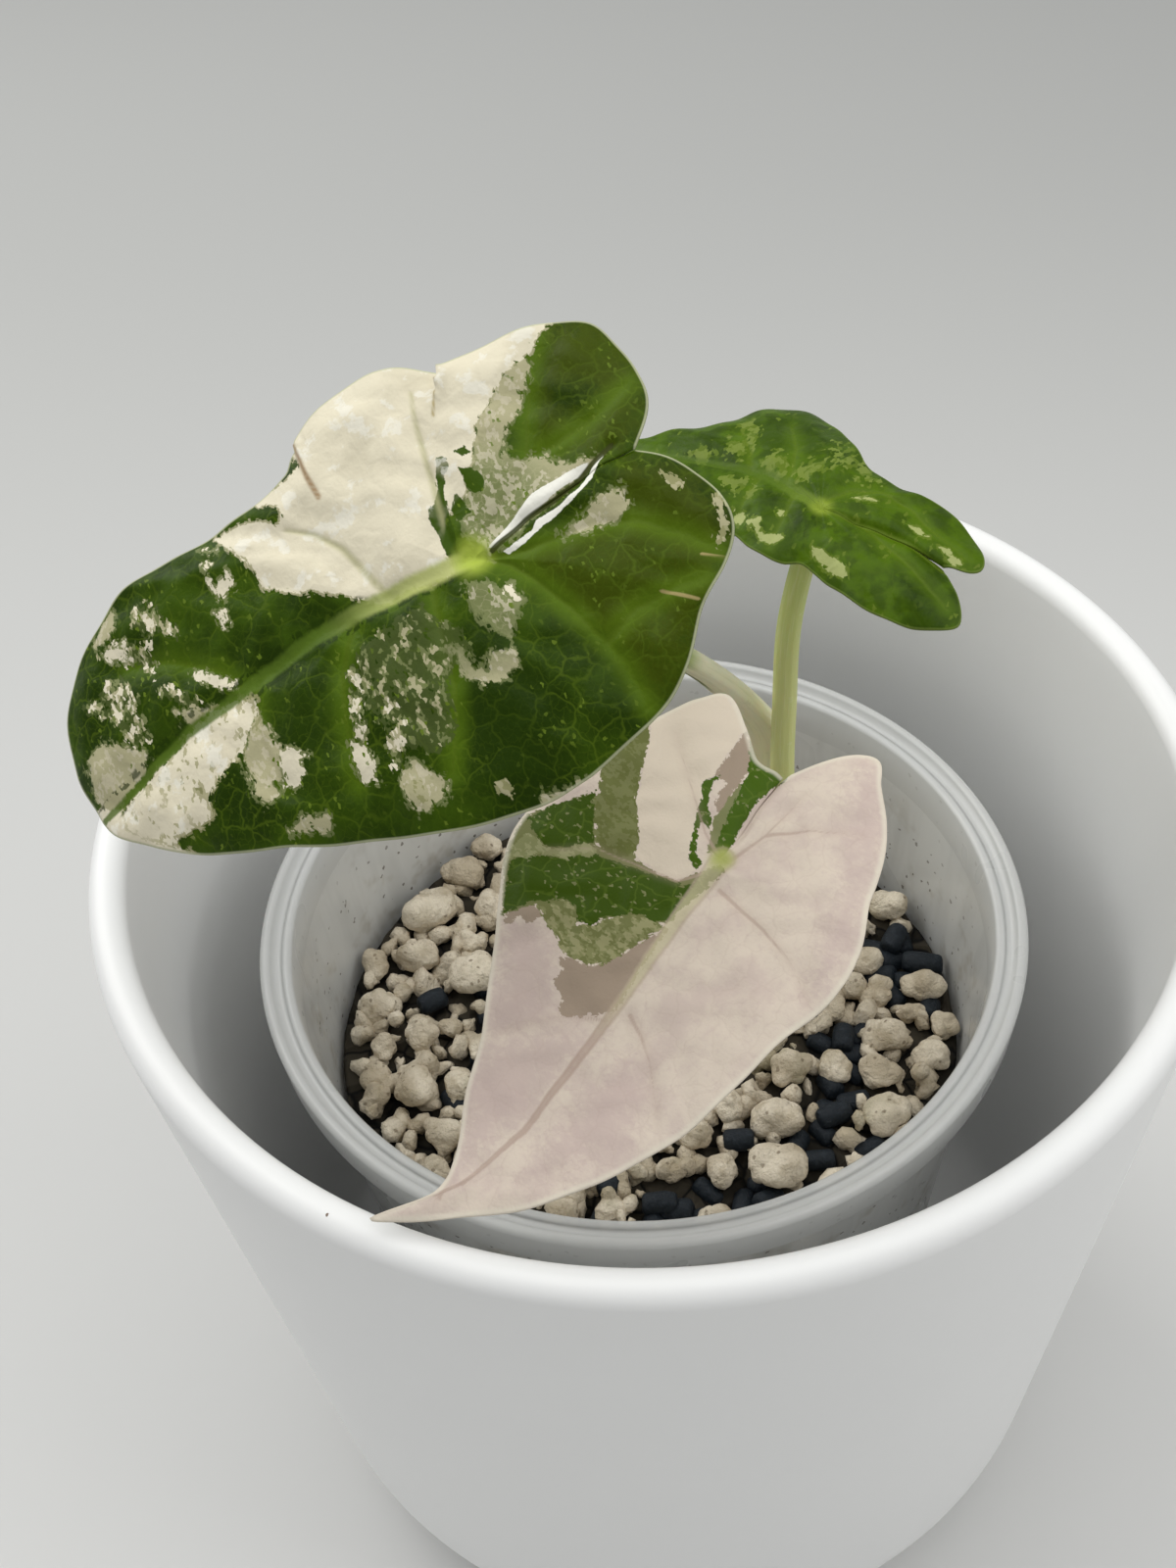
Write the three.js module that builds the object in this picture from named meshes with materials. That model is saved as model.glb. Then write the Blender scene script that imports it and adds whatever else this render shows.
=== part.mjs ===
// A young variegated alocasia in a milky inner cup, which stands in a white cachepot.
// Millimetres, +Z up. The origin is the centre of the cachepot's flat foot, the pot's axis
// is Z, and the plant's large leaf points to -X, a little towards -Y.
import * as THREE from "three";
import { mergeVertices } from "three/addons/utils/BufferGeometryUtils.js";

// Cachepot: a plain straight-sided pot with a rounded lip and a large round at the foot.
const potHeight = 130;
const potRimRadius = 70;
const potFootRadius = 57.5; // where the straight side would meet the floor line
const potWall = 4.7;
const potFloor = 4.5;
const potFootRound = 24;
const potSegments = 48;

// Inner cup: a thin tapered cup with a rolled bead, a ledge and a short skirt at its rim.
const cupOffsetX = -2.1; // it stands a little left of the pot's axis
const cupStand = 4.8; // underside, 0.3 above the pot's floor
const cupRimHeight = 107.8;
const cupMouthRadius = 46.5;
const cupTaper = 0.1; // radius lost for each millimetre down
const cupWall = 0.9;
const cupRimRadius = 50.7;
const cupSkirt = 4.6;
const cupFootRound = 4;
const cupSegments = 48;

// Substrate: a level bed, with the loose lumps and pellets lying on it.
const bedTop = 82.5;
const rest = 0.3; // clearance between pieces that touch
const stemCentre = [15, 8];
const stemRadius = 6.2;
const stemTop = 88;

// Leaf blades. A blade lies in its own frame: x towards the tip, y towards the nearer half,
// z out of the upper face. turn = [heading, droop, roll] in degrees. midrib bends the centre
// line sideways. edge lists [degrees from the midrib, millimetres from the petiole].
const bladeThickness = 0.8;
const bladeRings = [0.12, 0.36, 0.6, 0.82, 1];
const bladeColumns = 28; // on each side of the midrib
const sinusGap = 0.7;

const leaves = {
  large: {
    at: [-15, -27, 190], turn: [-166, 24, -26], colour: 0x4f7a2b,
    length: 47, lobe: 23, width: 24, tipDroop: 8, lobeDroop: 2, nearLift: -4, farLift: -0.5,
    midrib: [[0, 0], [9, -1.1], [17, -1.8], [26, -1.5], [34, -1.6], [42, -0.4], [47.5, 0]],
    edge: [
      [-175, 17.8], [-166, 21.5], [-158, 23], [-150, 24.1], [-142, 25], [-133, 23.8],
      [-122, 21.7], [-110, 19.9], [-105, 19.7], [-94, 21.8], [-86, 22.5], [-75, 22.7],
      [-66, 22.8], [-58, 22.2], [-52, 21.4], [-42, 23.5], [-36, 27.5], [-31, 33], [-25, 41],
      [-20, 45.7], [-14, 47.8], [-7, 48.5], [-2, 47.8], [0, 47.5], [3, 46.3], [7, 43.7],
      [13, 40.5], [20, 37], [29, 32.5], [41, 29], [54, 27], [73, 24.5], [96, 22.6],
      [109, 22.5], [124, 22.3], [137, 21.8], [149, 23.2], [158, 24], [165, 23.3],
      [172, 21.6], [178, 20], [185, 17.8],
    ],
  },
  small: {
    at: [21.5, 10, 165], turn: [143, 0, -10], colour: 0x55832f,
    length: 31, lobe: 20, width: 12, tipDroop: 3.4, lobeDroop: 4, nearLift: -2.5, farLift: -2,
    midrib: [[0, 0], [9, -2], [17, -1], [31, 0]],
    edge: [
      [-179, 15.5], [-176, 18.2], [-172, 19.3], [-165, 18.6], [-156, 16.4], [-147, 14.3],
      [-139, 11.8], [-125, 9.6], [-100, 9], [-80, 11], [-63, 14.5], [-54, 18], [-46, 20.2],
      [-36, 21.6], [-25, 21.5], [-16, 22.6], [-7, 26.8], [0, 31], [10, 25.5], [22, 19.5],
      [36, 14.5], [50, 11.7], [61, 10.6], [75, 9.4], [100, 7.6], [116, 8.8], [127, 10.8],
      [137, 13.2], [146, 15.7], [155, 18.4], [162, 20.5], [167, 20.9], [173, 19], [181, 15.5],
    ],
  },
  pink: {
    at: [7.5, -26.5, 146], turn: [-138, 13, -5], colour: 0xd9c3c4,
    length: 53, lobe: 20, width: 20, tipDroop: 1.5, lobeDroop: 1.5, nearLift: 1.2, farLift: 1.2,
    midrib: [[0, 0], [9, 1.4], [19, 3.4], [26, 4.4], [36, 5.7], [44, 4.9], [53, 0]],
    edge: [
      [-169, 12.7], [-154, 13.6], [-146, 17.6], [-139, 22.3], [-130, 21.8], [-122, 20.8],
      [-111, 20], [-95, 20.4], [-75, 22.8], [-61, 25.3], [-52, 26.4], [-43, 27.2],
      [-34, 28.6], [-20, 32.8], [-11, 38.6], [-4, 43.2], [-1, 46.5], [-0.4, 50], [0, 53],
      [1.6, 51], [4, 46.5], [8, 42.3], [14, 37.5], [20, 33.6], [29, 29.2], [40, 24.6],
      [56, 21], [77, 20], [90, 19.2], [109, 17], [120, 16.9], [133, 17.5], [147, 18.4],
      [160, 19.6], [169, 21.5], [175, 20.5], [182, 17], [191, 12.7],
    ],
  },
};

// Petioles: centre line from the stem to just under the blade, and the two half widths of the
// oval section at each point. The large one is flattened into a sheath low down.
const petioleSides = 10;
const petioles = {
  large: {
    colour: 0xd8d8a4,
    path: [
      [13, 10.6, 88.4], [13.1, 10.9, 92], [14.6, 13.4, 103], [16.6, 16.4, 115],
      [15.9, 16.2, 123], [13, 13.8, 131], [6.6, 8, 143.5], [-3.2, -6, 163],
      [-10.8, -18.6, 179], [-14.7, -26.3, 188.9],
    ],
    width: [2.3, 2.5, 2.8, 3, 2.8, 2.3, 1.75, 1.6, 1.5, 1.5],
    depth: [1.9, 1.9, 1.8, 1.7, 1.7, 1.7, 1.6, 1.55, 1.5, 1.5],
  },
  small: {
    colour: 0xb3c26a,
    path: [
      [18.5, 9.5, 88.4], [18.2, 10.4, 101], [17.7, 11.4, 120], [17.8, 11.1, 133],
      [18.1, 10.5, 146.5], [19.8, 10, 158], [21.5, 10.1, 163.8],
    ],
    width: [2.1, 1.8, 1.65, 1.6, 1.55, 1.45, 1.4],
    depth: [2.1, 1.8, 1.65, 1.6, 1.55, 1.45, 1.4],
  },
  pink: {
    colour: 0xcdb6a8,
    path: [
      [14.5, 4.5, 88.4], [14.7, 4.1, 92], [15.4, -1.5, 104], [14.6, -9.5, 118],
      [11.6, -19, 134], [8, -26, 144.9],
    ],
    width: [2.2, 2.1, 2, 1.8, 1.6, 1.5],
    depth: [2.1, 2, 1.9, 1.7, 1.6, 1.5],
  },
};

// Pumice lumps on the bed: [x, y, long, short, turn in degrees], the sizes in plan.
const pumice = [
  [-29, 29, 7, 6, 20], [-34, 21, 10.5, 6.5, 35], [-25, 22, 5, 6, 0], [-27.5, 15, 5, 5, 0],
  [-41.5, 12.5, 4.5, 6, 10], [-35.5, 12.5, 8, 5, -15], [-27.5, 7.5, 9, 6.5, 10],
  [-40, 4, 7, 6.5, 0], [-34, -1, 5, 7, 10], [-39.5, -3, 4, 5.5, 0], [-40, -8.5, 5.5, 4, 20],
  [-28.5, -10, 5, 5, 0], [-34.5, -10.5, 7, 7.5, 20], [-30, -18, 7, 5, -30],
  [-26, 34, 6, 5, 0], [-31, -24, 6.5, 4.5, -40], [-26, -3.5, 3.5, 5, 0],
  [35.5, 18, 7, 6, -20], [30, 8, 6, 5.5, 0], [39, 2.5, 7.5, 4.5, -10], [31, 2, 5, 4.5, 0],
  [36, -2, 5, 3.5, 0], [40, -3.5, 4.5, 4.5, 0], [30.5, -5, 7, 5.5, 10],
  [37, -9, 5.5, 5.5, 0], [29.5, -11.5, 6, 6, 40], [29.5, -19, 9, 6.5, 35],
  [24, -1, 5, 5.5, 0], [23.5, -9.5, 5, 5.5, 0], [17.5, -10.5, 7, 6, 0],
  [14.5, -18.5, 8, 6, -20], [14.5, -26.5, 9, 7.5, 15], [3.5, -20, 6, 5.5, 0],
  [8.5, -15.5, 5, 6.5, 10], [0, -25.5, 5, 4, 20], [7, -25.5, 5, 5, 0],
  [-8, -31, 5, 4, 0], [5.5, -33, 5.5, 3.5, 0],
];
const pumiceHeight = 0.78; // share of the mean plan size

// Charcoal pellets: [x, y, length, turn in degrees], short rods lying on their sides.
const pelletRadius = 1.6;
const charcoal = [
  [35, 11.5, 4.5, 60], [41, 8, 5.5, -10], [-32, 5, 4, 30], [25.5, -5.5, 4, 80],
  [22.5, -18, 4.5, 20], [-1.5, -30.5, 4.5, 0], [-22, 1, 5, 60], [9.5, -21.5, 4, 0],
  [-24, -15, 4.5, 45],
];
const spreadRounds = 80;

const degrees = Math.PI / 180;
const plant = new THREE.Group();

// Names a solid, gives it its finish and adds it to the group.
function addMesh(parent, name, geometry, colour, roughness, metalness = 0) {
  const material = new THREE.MeshStandardMaterial({ color: colour, roughness, metalness });
  const mesh = new THREE.Mesh(geometry, material);
  mesh.name = name;
  parent.add(mesh);
  return mesh;
}

// Keeps only positions and joins the vertices that coincide.
function closed(geometry) {
  geometry.deleteAttribute("normal");
  geometry.deleteAttribute("uv");
  const joined = mergeVertices(geometry, 1e-4);
  joined.computeVertexNormals();
  return joined;
}

// Turns a profile of [radius, height] points about Z.
function turned(profile, segments) {
  const points = profile.map(([radius, height]) => new THREE.Vector2(radius, height));
  return new THREE.LatheGeometry(points, segments).rotateX(Math.PI / 2);
}

// Points of an arc in the profile plane, from one angle to another in degrees.
function arc(centreR, centreZ, radius, from, to, steps) {
  return Array.from({ length: steps + 1 }, (_, i) => {
    const angle = (from + ((to - from) * i) / steps) * degrees;
    return [centreR + radius * Math.cos(angle), centreZ + radius * Math.sin(angle)];
  });
}

// The value at x of a smooth curve through the points [x, value].
function through(points, x) {
  const last = points.length - 1;
  const slope = (i) => {
    const a = points[Math.max(i - 1, 0)];
    const b = points[Math.min(i + 1, last)];
    return (b[1] - a[1]) / (b[0] - a[0]);
  };
  let i = 0;
  while (i < last - 1 && x > points[i + 1][0]) i += 1;
  const [x0, y0] = points[i];
  const [x1, y1] = points[i + 1];
  const step = x1 - x0;
  const t = (x - x0) / step;
  const t2 = t * t;
  const t3 = t2 * t;
  return (2 * t3 - 3 * t2 + 1) * y0 + (t3 - 2 * t2 + t) * step * slope(i)
    + (3 * t2 - 2 * t3) * y1 + (t3 - t2) * step * slope(i + 1);
}

function cachepot() {
  const lean = Math.atan((potRimRadius - potFootRadius) / potHeight);
  const lip = potWall / 2;
  const side = (z) => potFootRadius + z * Math.tan(lean);
  const roundR = side(potFootRound) - potFootRound / Math.cos(lean);
  const innerRound = potFootRound - potFloor;
  const leanDegrees = lean / degrees;
  return turned([
    [0, 0],
    ...arc(roundR, potFootRound, potFootRound, -90, -leanDegrees, 7),
    ...arc(potRimRadius - lip, potHeight - lip, lip, -leanDegrees, 180 - leanDegrees, 6),
    ...arc(roundR, potFootRound, innerRound, -leanDegrees, -90, 6),
    [0, potFloor],
  ], potSegments);
}

function innerCup() {
  const mouth = (z) => cupMouthRadius - cupTaper * (cupRimHeight - z);
  const bead = 0.8;
  const ledge = cupRimHeight - 1.1;
  const footInside = cupStand + cupWall;
  const footRadius = mouth(footInside + cupFootRound) - cupFootRound;
  return turned([
    [0, cupStand],
    ...arc(footRadius, footInside + cupFootRound, cupFootRound + cupWall, -84, -6, 3),
    [mouth(60) + cupWall, 60],
    [mouth(ledge - cupSkirt) + cupWall, ledge - cupSkirt],
    [mouth(ledge - cupWall) + cupWall, ledge - cupWall],
    [cupRimRadius - 1.1, ledge - cupWall],
    [cupRimRadius - 1.1, ledge - cupSkirt],
    [cupRimRadius - 0.2, ledge - cupSkirt],
    ...arc(cupRimRadius - bead, cupRimHeight - bead, bead, 0, 150, 4),
    [cupRimRadius - 2.2, ledge],
    [mouth(ledge) + 1.4, ledge + 0.2],
    [mouth(ledge) + 0.2, ledge + 0.1],
    [mouth(60), 60],
    ...arc(footRadius, footInside + cupFootRound, cupFootRound, -6, -90, 3),
    [0, footInside],
  ], cupSegments);
}

function substrateBed() {
  const inside = (z) => cupMouthRadius - cupTaper * (cupRimHeight - z) - rest;
  const base = cupStand + cupWall + rest;
  return turned([
    [0, base],
    [inside(base) - cupFootRound - 1, base],
    [inside(base + cupFootRound) - 0.4, base + cupFootRound + 1],
    [inside(bedTop) - 0.1, bedTop],
    [0, bedTop],
  ], cupSegments);
}

// The short stem that the petioles grow from, ringed by old leaf scars.
function stemBase() {
  return turned([
    [0, bedTop + rest],
    [stemRadius, bedTop + rest],
    [stemRadius + 0.5, bedTop + 1.6],
    [stemRadius - 0.1, bedTop + 2.6],
    [stemRadius + 0.2, bedTop + 3.8],
    [stemRadius - 0.5, stemTop],
    [0, stemTop],
  ], 16);
}

// Height of a blade's middle surface above its own plane.
function bladeHeight(leaf, along, across) {
  const reach = along > 0 ? leaf.length : leaf.lobe;
  const droop = along > 0 ? leaf.tipDroop : leaf.lobeDroop;
  const lift = across > 0 ? leaf.nearLift : leaf.farLift;
  return lift * (across / leaf.width) ** 2 - droop * (along / reach) ** 2;
}

// A thin closed blade: rings of points round the petiole, slit along the sinus.
function blade(leaf) {
  const first = leaf.edge[0][0];
  const final = leaf.edge[leaf.edge.length - 1][0];
  const angles = [];
  for (let i = -bladeColumns; i <= bladeColumns; i += 1) {
    const share = (Math.abs(i) / bladeColumns) ** 1.4;
    angles.push(share * (i < 0 ? first : final));
  }
  const columns = angles.length;
  const points = [[0, 0]];
  bladeRings.forEach((ring, k) => {
    angles.forEach((angle, j) => {
      const radius = ring * through(leaf.edge, angle);
      const along = radius * Math.cos(angle * degrees);
      const across = radius * Math.sin(angle * degrees);
      const side = j === 0 ? 1 : -1;
      const slit = k > 0 && (j === 0 || j === columns - 1) ? (side * sinusGap) / 2 : 0;
      points.push([
        along + slit * Math.sin(first * degrees),
        across - slit * Math.cos(first * degrees),
      ]);
    });
  });
  const positions = [];
  for (const face of [1, -1]) {
    for (const [along, across] of points) {
      const bend = along > 0 ? through(leaf.midrib, Math.min(along, leaf.length)) : 0;
      const height = bladeHeight(leaf, along, across + bend);
      positions.push(along, across + bend, height + (face * bladeThickness) / 2);
    }
  }
  const under = points.length;
  const spot = (k, j) => 1 + k * columns + (k === 0 ? j % (columns - 1) : j);
  const faces = [];
  const bothSides = (a, b, c) => {
    faces.push(a, b, c, under + a, under + c, under + b);
  };
  for (let j = 0; j < columns - 1; j += 1) {
    bothSides(0, spot(0, j), spot(0, j + 1));
    for (let k = 0; k < bladeRings.length - 1; k += 1) {
      bothSides(spot(k, j), spot(k + 1, j), spot(k + 1, j + 1));
      bothSides(spot(k, j), spot(k + 1, j + 1), spot(k, j + 1));
    }
  }
  const wall = (a, b) => faces.push(a, under + a, b, b, under + a, under + b);
  const outer = bladeRings.length - 1;
  for (let j = 0; j < columns - 1; j += 1) wall(spot(outer, j), spot(outer, j + 1));
  for (let k = 0; k < outer; k += 1) {
    wall(spot(k, 0), spot(k + 1, 0));
    wall(spot(k + 1, columns - 1), spot(k, columns - 1));
  }
  const geometry = new THREE.BufferGeometry();
  geometry.setAttribute("position", new THREE.Float32BufferAttribute(positions, 3));
  geometry.setIndex(faces);
  return closed(geometry);
}

// A closed stalk along a smooth path, with an oval section that changes along it.
function stalk({ path, width, depth }) {
  const curve = new THREE.CatmullRomCurve3(path.map((point) => new THREE.Vector3(...point)));
  const steps = (path.length - 1) * 3;
  const facing = new THREE.Vector3(-0.35, -0.85, 0.3);
  const positions = [];
  const faces = [];
  for (let i = 0; i <= steps; i += 1) {
    const share = i / steps;
    const centre = curve.getPoint(share);
    const tangent = curve.getTangent(share);
    const sideways = new THREE.Vector3().crossVectors(tangent, facing).normalize();
    const outward = new THREE.Vector3().crossVectors(sideways, tangent);
    const place = share * (path.length - 1);
    const wide = through(width.map((value, k) => [k, value]), place);
    const deep = through(depth.map((value, k) => [k, value]), place);
    for (let j = 0; j < petioleSides; j += 1) {
      const angle = (2 * Math.PI * j) / petioleSides;
      const point = centre.clone()
        .addScaledVector(sideways, wide * Math.cos(angle))
        .addScaledVector(outward, deep * Math.sin(angle));
      positions.push(point.x, point.y, point.z);
      const next = (j + 1) % petioleSides;
      const a = i * petioleSides + j;
      const b = i * petioleSides + next;
      if (i < steps) {
        faces.push(a, a + petioleSides, b, b, a + petioleSides, b + petioleSides);
      }
    }
  }
  const top = steps * petioleSides;
  for (let j = 1; j < petioleSides - 1; j += 1) {
    faces.push(0, j, j + 1, top, top + j + 1, top + j);
  }
  const geometry = new THREE.BufferGeometry();
  geometry.setAttribute("position", new THREE.Float32BufferAttribute(positions, 3));
  geometry.setIndex(faces);
  return closed(geometry);
}

// An irregular rounded lump that lies on the bed. A lump never swells past its plan size.
function lump(long, short, turn, number) {
  const high = ((long + short) / 2) * pumiceHeight;
  const geometry = closed(new THREE.IcosahedronGeometry(1, 1));
  const position = geometry.getAttribute("position");
  const point = new THREE.Vector3();
  for (let i = 0; i < position.count; i += 1) {
    point.fromBufferAttribute(position, i);
    const dent = 0.05 * Math.sin(5 * point.x + number) + 0.05 * Math.sin(4 * point.y - 2 * number)
      + 0.04 * Math.cos(6 * point.z + 3 * number) - 0.14;
    point.multiplyScalar(1 + dent);
    position.setXYZ(i, point.x, point.y, point.z);
  }
  geometry.scale(long / 2, short / 2, high / 2);
  geometry.rotateZ(turn * degrees);
  return closed(geometry);
}

// A short rod with bevelled ends, lying on its side.
function pellet(length, turn) {
  const half = length / 2;
  const profile = [[0, -half], [pelletRadius * 0.7, -half], [pelletRadius, -half + 0.5],
    [pelletRadius, half - 0.5], [pelletRadius * 0.7, half], [0, half]];
  const geometry = turned(profile, 8).rotateY(Math.PI / 2).rotateZ(turn * degrees);
  return closed(geometry);
}

// Half size of a loose piece in plan along the unit direction (dx, dy).
function reachOf(piece, dx, dy) {
  const cos = Math.cos(piece.turn * degrees);
  const sin = Math.sin(piece.turn * degrees);
  const along = Math.abs(dx * cos + dy * sin) * piece.long / 2;
  const across = Math.abs(dy * cos - dx * sin) * piece.short / 2;
  return piece.round ? Math.hypot(along, across) : along + across;
}

// Moves loose pieces apart, and in from the cup's wall, until none touches another.
function spread(pieces) {
  const room = cupMouthRadius - cupTaper * (cupRimHeight - bedTop) - rest;
  const stemRoom = stemRadius + 0.5 + rest;
  for (let round = 0; round < spreadRounds; round += 1) {
    pieces.forEach((piece, i) => {
      for (const other of pieces.slice(i + 1)) {
        const apart = Math.hypot(other.x - piece.x, other.y - piece.y);
        const dx = (other.x - piece.x) / apart;
        const dy = (other.y - piece.y) / apart;
        const push = (reachOf(piece, dx, dy) + reachOf(other, dx, dy) + rest - apart) / 2;
        if (push > 0) {
          piece.x -= push * dx;
          piece.y -= push * dy;
          other.x += push * dx;
          other.y += push * dy;
        }
      }
      const fromStem = Math.hypot(piece.x - stemCentre[0], piece.y - stemCentre[1]);
      const sx = (piece.x - stemCentre[0]) / fromStem;
      const sy = (piece.y - stemCentre[1]) / fromStem;
      const outward = Math.max(0, stemRoom + reachOf(piece, sx, sy) - fromStem);
      piece.x += outward * sx;
      piece.y += outward * sy;
      const fromAxis = Math.hypot(piece.x - cupOffsetX, piece.y);
      const ax = (piece.x - cupOffsetX) / fromAxis;
      const ay = piece.y / fromAxis;
      const inward = Math.max(0, fromAxis + reachOf(piece, ax, ay) - room);
      piece.x -= inward * ax;
      piece.y -= inward * ay;
    });
  }
}

// Sets a loose piece down on the bed.
function layDown({ name, geometry, x, y, colour }) {
  geometry.computeBoundingBox();
  const mesh = addMesh(plant, name, geometry, colour, 0.95);
  mesh.position.set(x, y, bedTop + rest - geometry.boundingBox.min.z);
}

addMesh(plant, "cachepot", cachepot(), 0xeeeeea, 0.35);
const inside = new THREE.Group();
inside.position.x = cupOffsetX;
plant.add(inside);
addMesh(inside, "inner_cup", innerCup(), 0xd4d6d4, 0.3);
addMesh(inside, "substrate_bed", substrateBed(), 0x6d665c, 0.95);
const stem = addMesh(plant, "stem_base", stemBase(), 0x8f8a5c, 0.7);
stem.position.set(...stemCentre, 0);

for (const [name, leaf] of Object.entries(leaves)) {
  addMesh(plant, `petiole_${name}`, stalk(petioles[name]), petioles[name].colour, 0.45);
  const mesh = addMesh(plant, `blade_${name}`, blade(leaf), leaf.colour, 0.4);
  const [heading, droop, roll] = leaf.turn;
  mesh.position.set(...leaf.at);
  mesh.rotation.set(roll * degrees, droop * degrees, heading * degrees, "ZYX");
}

const numbered = (kind, i) => `${kind}_${String(i + 1).padStart(2, "0")}`;
const loose = [
  ...pumice.map(([x, y, long, short, turn], i) => ({
    name: numbered("pumice", i), colour: 0xcfc4ae, round: true, x, y, long, short, turn,
    geometry: lump(long, short, turn, i),
  })),
  ...charcoal.map(([x, y, long, turn], i) => ({
    name: numbered("charcoal", i), colour: 0x15181c, x, y, long, short: 2 * pelletRadius, turn,
    geometry: pellet(long, turn),
  })),
];
spread(loose);
loose.forEach(layDown);

export default plant;
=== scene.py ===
# Potted variegated alocasia: three leaves, a milky inner cup of pumice, a white cachepot.
import math

import bpy
import numpy as np
from mathutils import Euler, Matrix, Vector


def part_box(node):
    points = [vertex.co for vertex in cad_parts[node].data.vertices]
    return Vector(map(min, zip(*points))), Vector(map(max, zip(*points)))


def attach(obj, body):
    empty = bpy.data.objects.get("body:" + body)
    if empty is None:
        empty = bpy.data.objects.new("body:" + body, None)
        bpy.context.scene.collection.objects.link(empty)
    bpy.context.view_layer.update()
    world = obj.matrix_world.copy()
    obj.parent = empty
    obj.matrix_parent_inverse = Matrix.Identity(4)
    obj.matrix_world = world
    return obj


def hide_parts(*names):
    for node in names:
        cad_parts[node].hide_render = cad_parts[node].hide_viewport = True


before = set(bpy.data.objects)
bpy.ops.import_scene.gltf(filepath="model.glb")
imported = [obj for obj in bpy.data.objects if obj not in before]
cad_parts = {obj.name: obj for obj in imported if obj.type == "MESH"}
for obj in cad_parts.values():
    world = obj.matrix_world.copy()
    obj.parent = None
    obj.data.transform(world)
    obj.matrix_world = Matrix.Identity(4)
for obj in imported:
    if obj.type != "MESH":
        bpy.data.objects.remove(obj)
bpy.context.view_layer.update()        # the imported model: everything below is built round it
mm = 0.001
scene = bpy.context.scene


class Wire:
    # One socket of a node tree, usable in sums.
    def __init__(self, tree, socket=None):
        self.tree = tree
        self.socket = socket
        self.dimensions = "3D"                         # of its noise and cells

    def node(self, kind, settings=(), values=(), output=0):
        made = self.tree.nodes.new(kind)
        for name, value in dict(settings).items():
            setattr(made, name, value)
        for place, value in dict(values).items():
            if isinstance(value, Wire):
                self.tree.links.new(value.socket, made.inputs[place])
            else:
                made.inputs[place].default_value = value
        return Wire(self.tree, made.outputs[output])

    def maths(self, operation, first, second=0.0):
        return self.node("ShaderNodeMath", {"operation": operation}, {0: first, 1: second})

    def __add__(self, other):
        return self.maths("ADD", self, other)

    def __sub__(self, other):
        return self.maths("SUBTRACT", self, other)

    def __rsub__(self, other):
        return self.maths("SUBTRACT", other, self)

    def __mul__(self, other):
        return self.maths("MULTIPLY", self, other)

    def __truediv__(self, other):
        return self.maths("DIVIDE", self, other)

    def __pow__(self, other):
        return self.maths("POWER", self, other)

    def __gt__(self, other):
        return self.maths("GREATER_THAN", self, other)

    def __lt__(self, other):
        return self.maths("LESS_THAN", self, other)

    __radd__ = __add__
    __rmul__ = __mul__

    def most(self, other):
        return self.maths("MAXIMUM", self, other)

    def ease(self, low, high):
        # 0 below low, 1 above high, smooth between.
        return self.node("ShaderNodeMapRange", {"interpolation_type": "SMOOTHSTEP"},
                         {"Value": self, "From Min": low, "From Max": high})

    def tint(self, mask, first, second):
        # first where mask is 0, second where it is 1.
        first = first if isinstance(first, Wire) else (*first, 1)
        second = second if isinstance(second, Wire) else (*second, 1)
        return self.node("ShaderNodeMix", {"data_type": "RGBA"},
                         {0: mask, 6: first, 7: second}, 2)

    def noise(self, place, scale, detail=2, roughness=0.5, output="Fac"):
        return self.node("ShaderNodeTexNoise", {"noise_dimensions": self.dimensions},
                         {"Vector": place, "Scale": scale, "Detail": detail,
                          "Roughness": roughness}, output)

    def cells(self, place, scale, output="Color"):
        # A flat random grey for each cell, the distance to its middle, or that Position.
        found = self.node("ShaderNodeTexVoronoi", {"voronoi_dimensions": self.dimensions},
                          {"Vector": place, "Scale": scale}, output)
        if output == "Color":
            return self.node("ShaderNodeSeparateColor", {}, {"Color": found}, "Red")
        return found

    def net(self, place, scale):
        # Distance to the borders between cells.
        return self.node("ShaderNodeTexVoronoi", {"voronoi_dimensions": self.dimensions,
                                                  "feature": "DISTANCE_TO_EDGE"},
                         {"Vector": place, "Scale": scale})

    def attribute(self, name, output="Fac"):
        return self.node("ShaderNodeAttribute", {"attribute_name": name}, {}, output)

    def place(self):
        return self.node("ShaderNodeTexCoord", {}, {}, "Object")

    def shaken(self, place, scale, amount):
        # place, pushed about by noise.
        push = self.noise(place, scale, 2, 0.5, "Color")
        push = self.node("ShaderNodeVectorMath", {"operation": "SUBTRACT"},
                         {0: push, 1: (0.5, 0.5, 0.5)})
        return self.node("ShaderNodeVectorMath", {"operation": "MULTIPLY_ADD"},
                         {0: push, 1: (amount, amount, amount), 2: place})


def newFinish(name, **fixed):
    # A material, the wire to draw with, and its shader with the even values set.
    material = bpy.data.materials.new(name)
    material.use_nodes = True
    shader = material.node_tree.nodes["Principled BSDF"]
    for label, value in fixed.items():
        socket = shader.inputs[label.replace("_", " ")]
        socket.default_value = (*value, 1) if isinstance(value, tuple) else value
    return material, Wire(material.node_tree), shader


def feed(draw, shader, colour, roughness=None, height=None, depth=0.0001, strength=1.0):
    draw.tree.links.new(colour.socket, shader.inputs["Base Color"])
    if roughness:
        draw.tree.links.new(roughness.socket, shader.inputs["Roughness"])
    if height:
        bump = draw.node("ShaderNodeBump", {},
                         {"Height": height, "Distance": depth, "Strength": strength})
        draw.tree.links.new(bump.socket, shader.inputs["Normal"])


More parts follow.
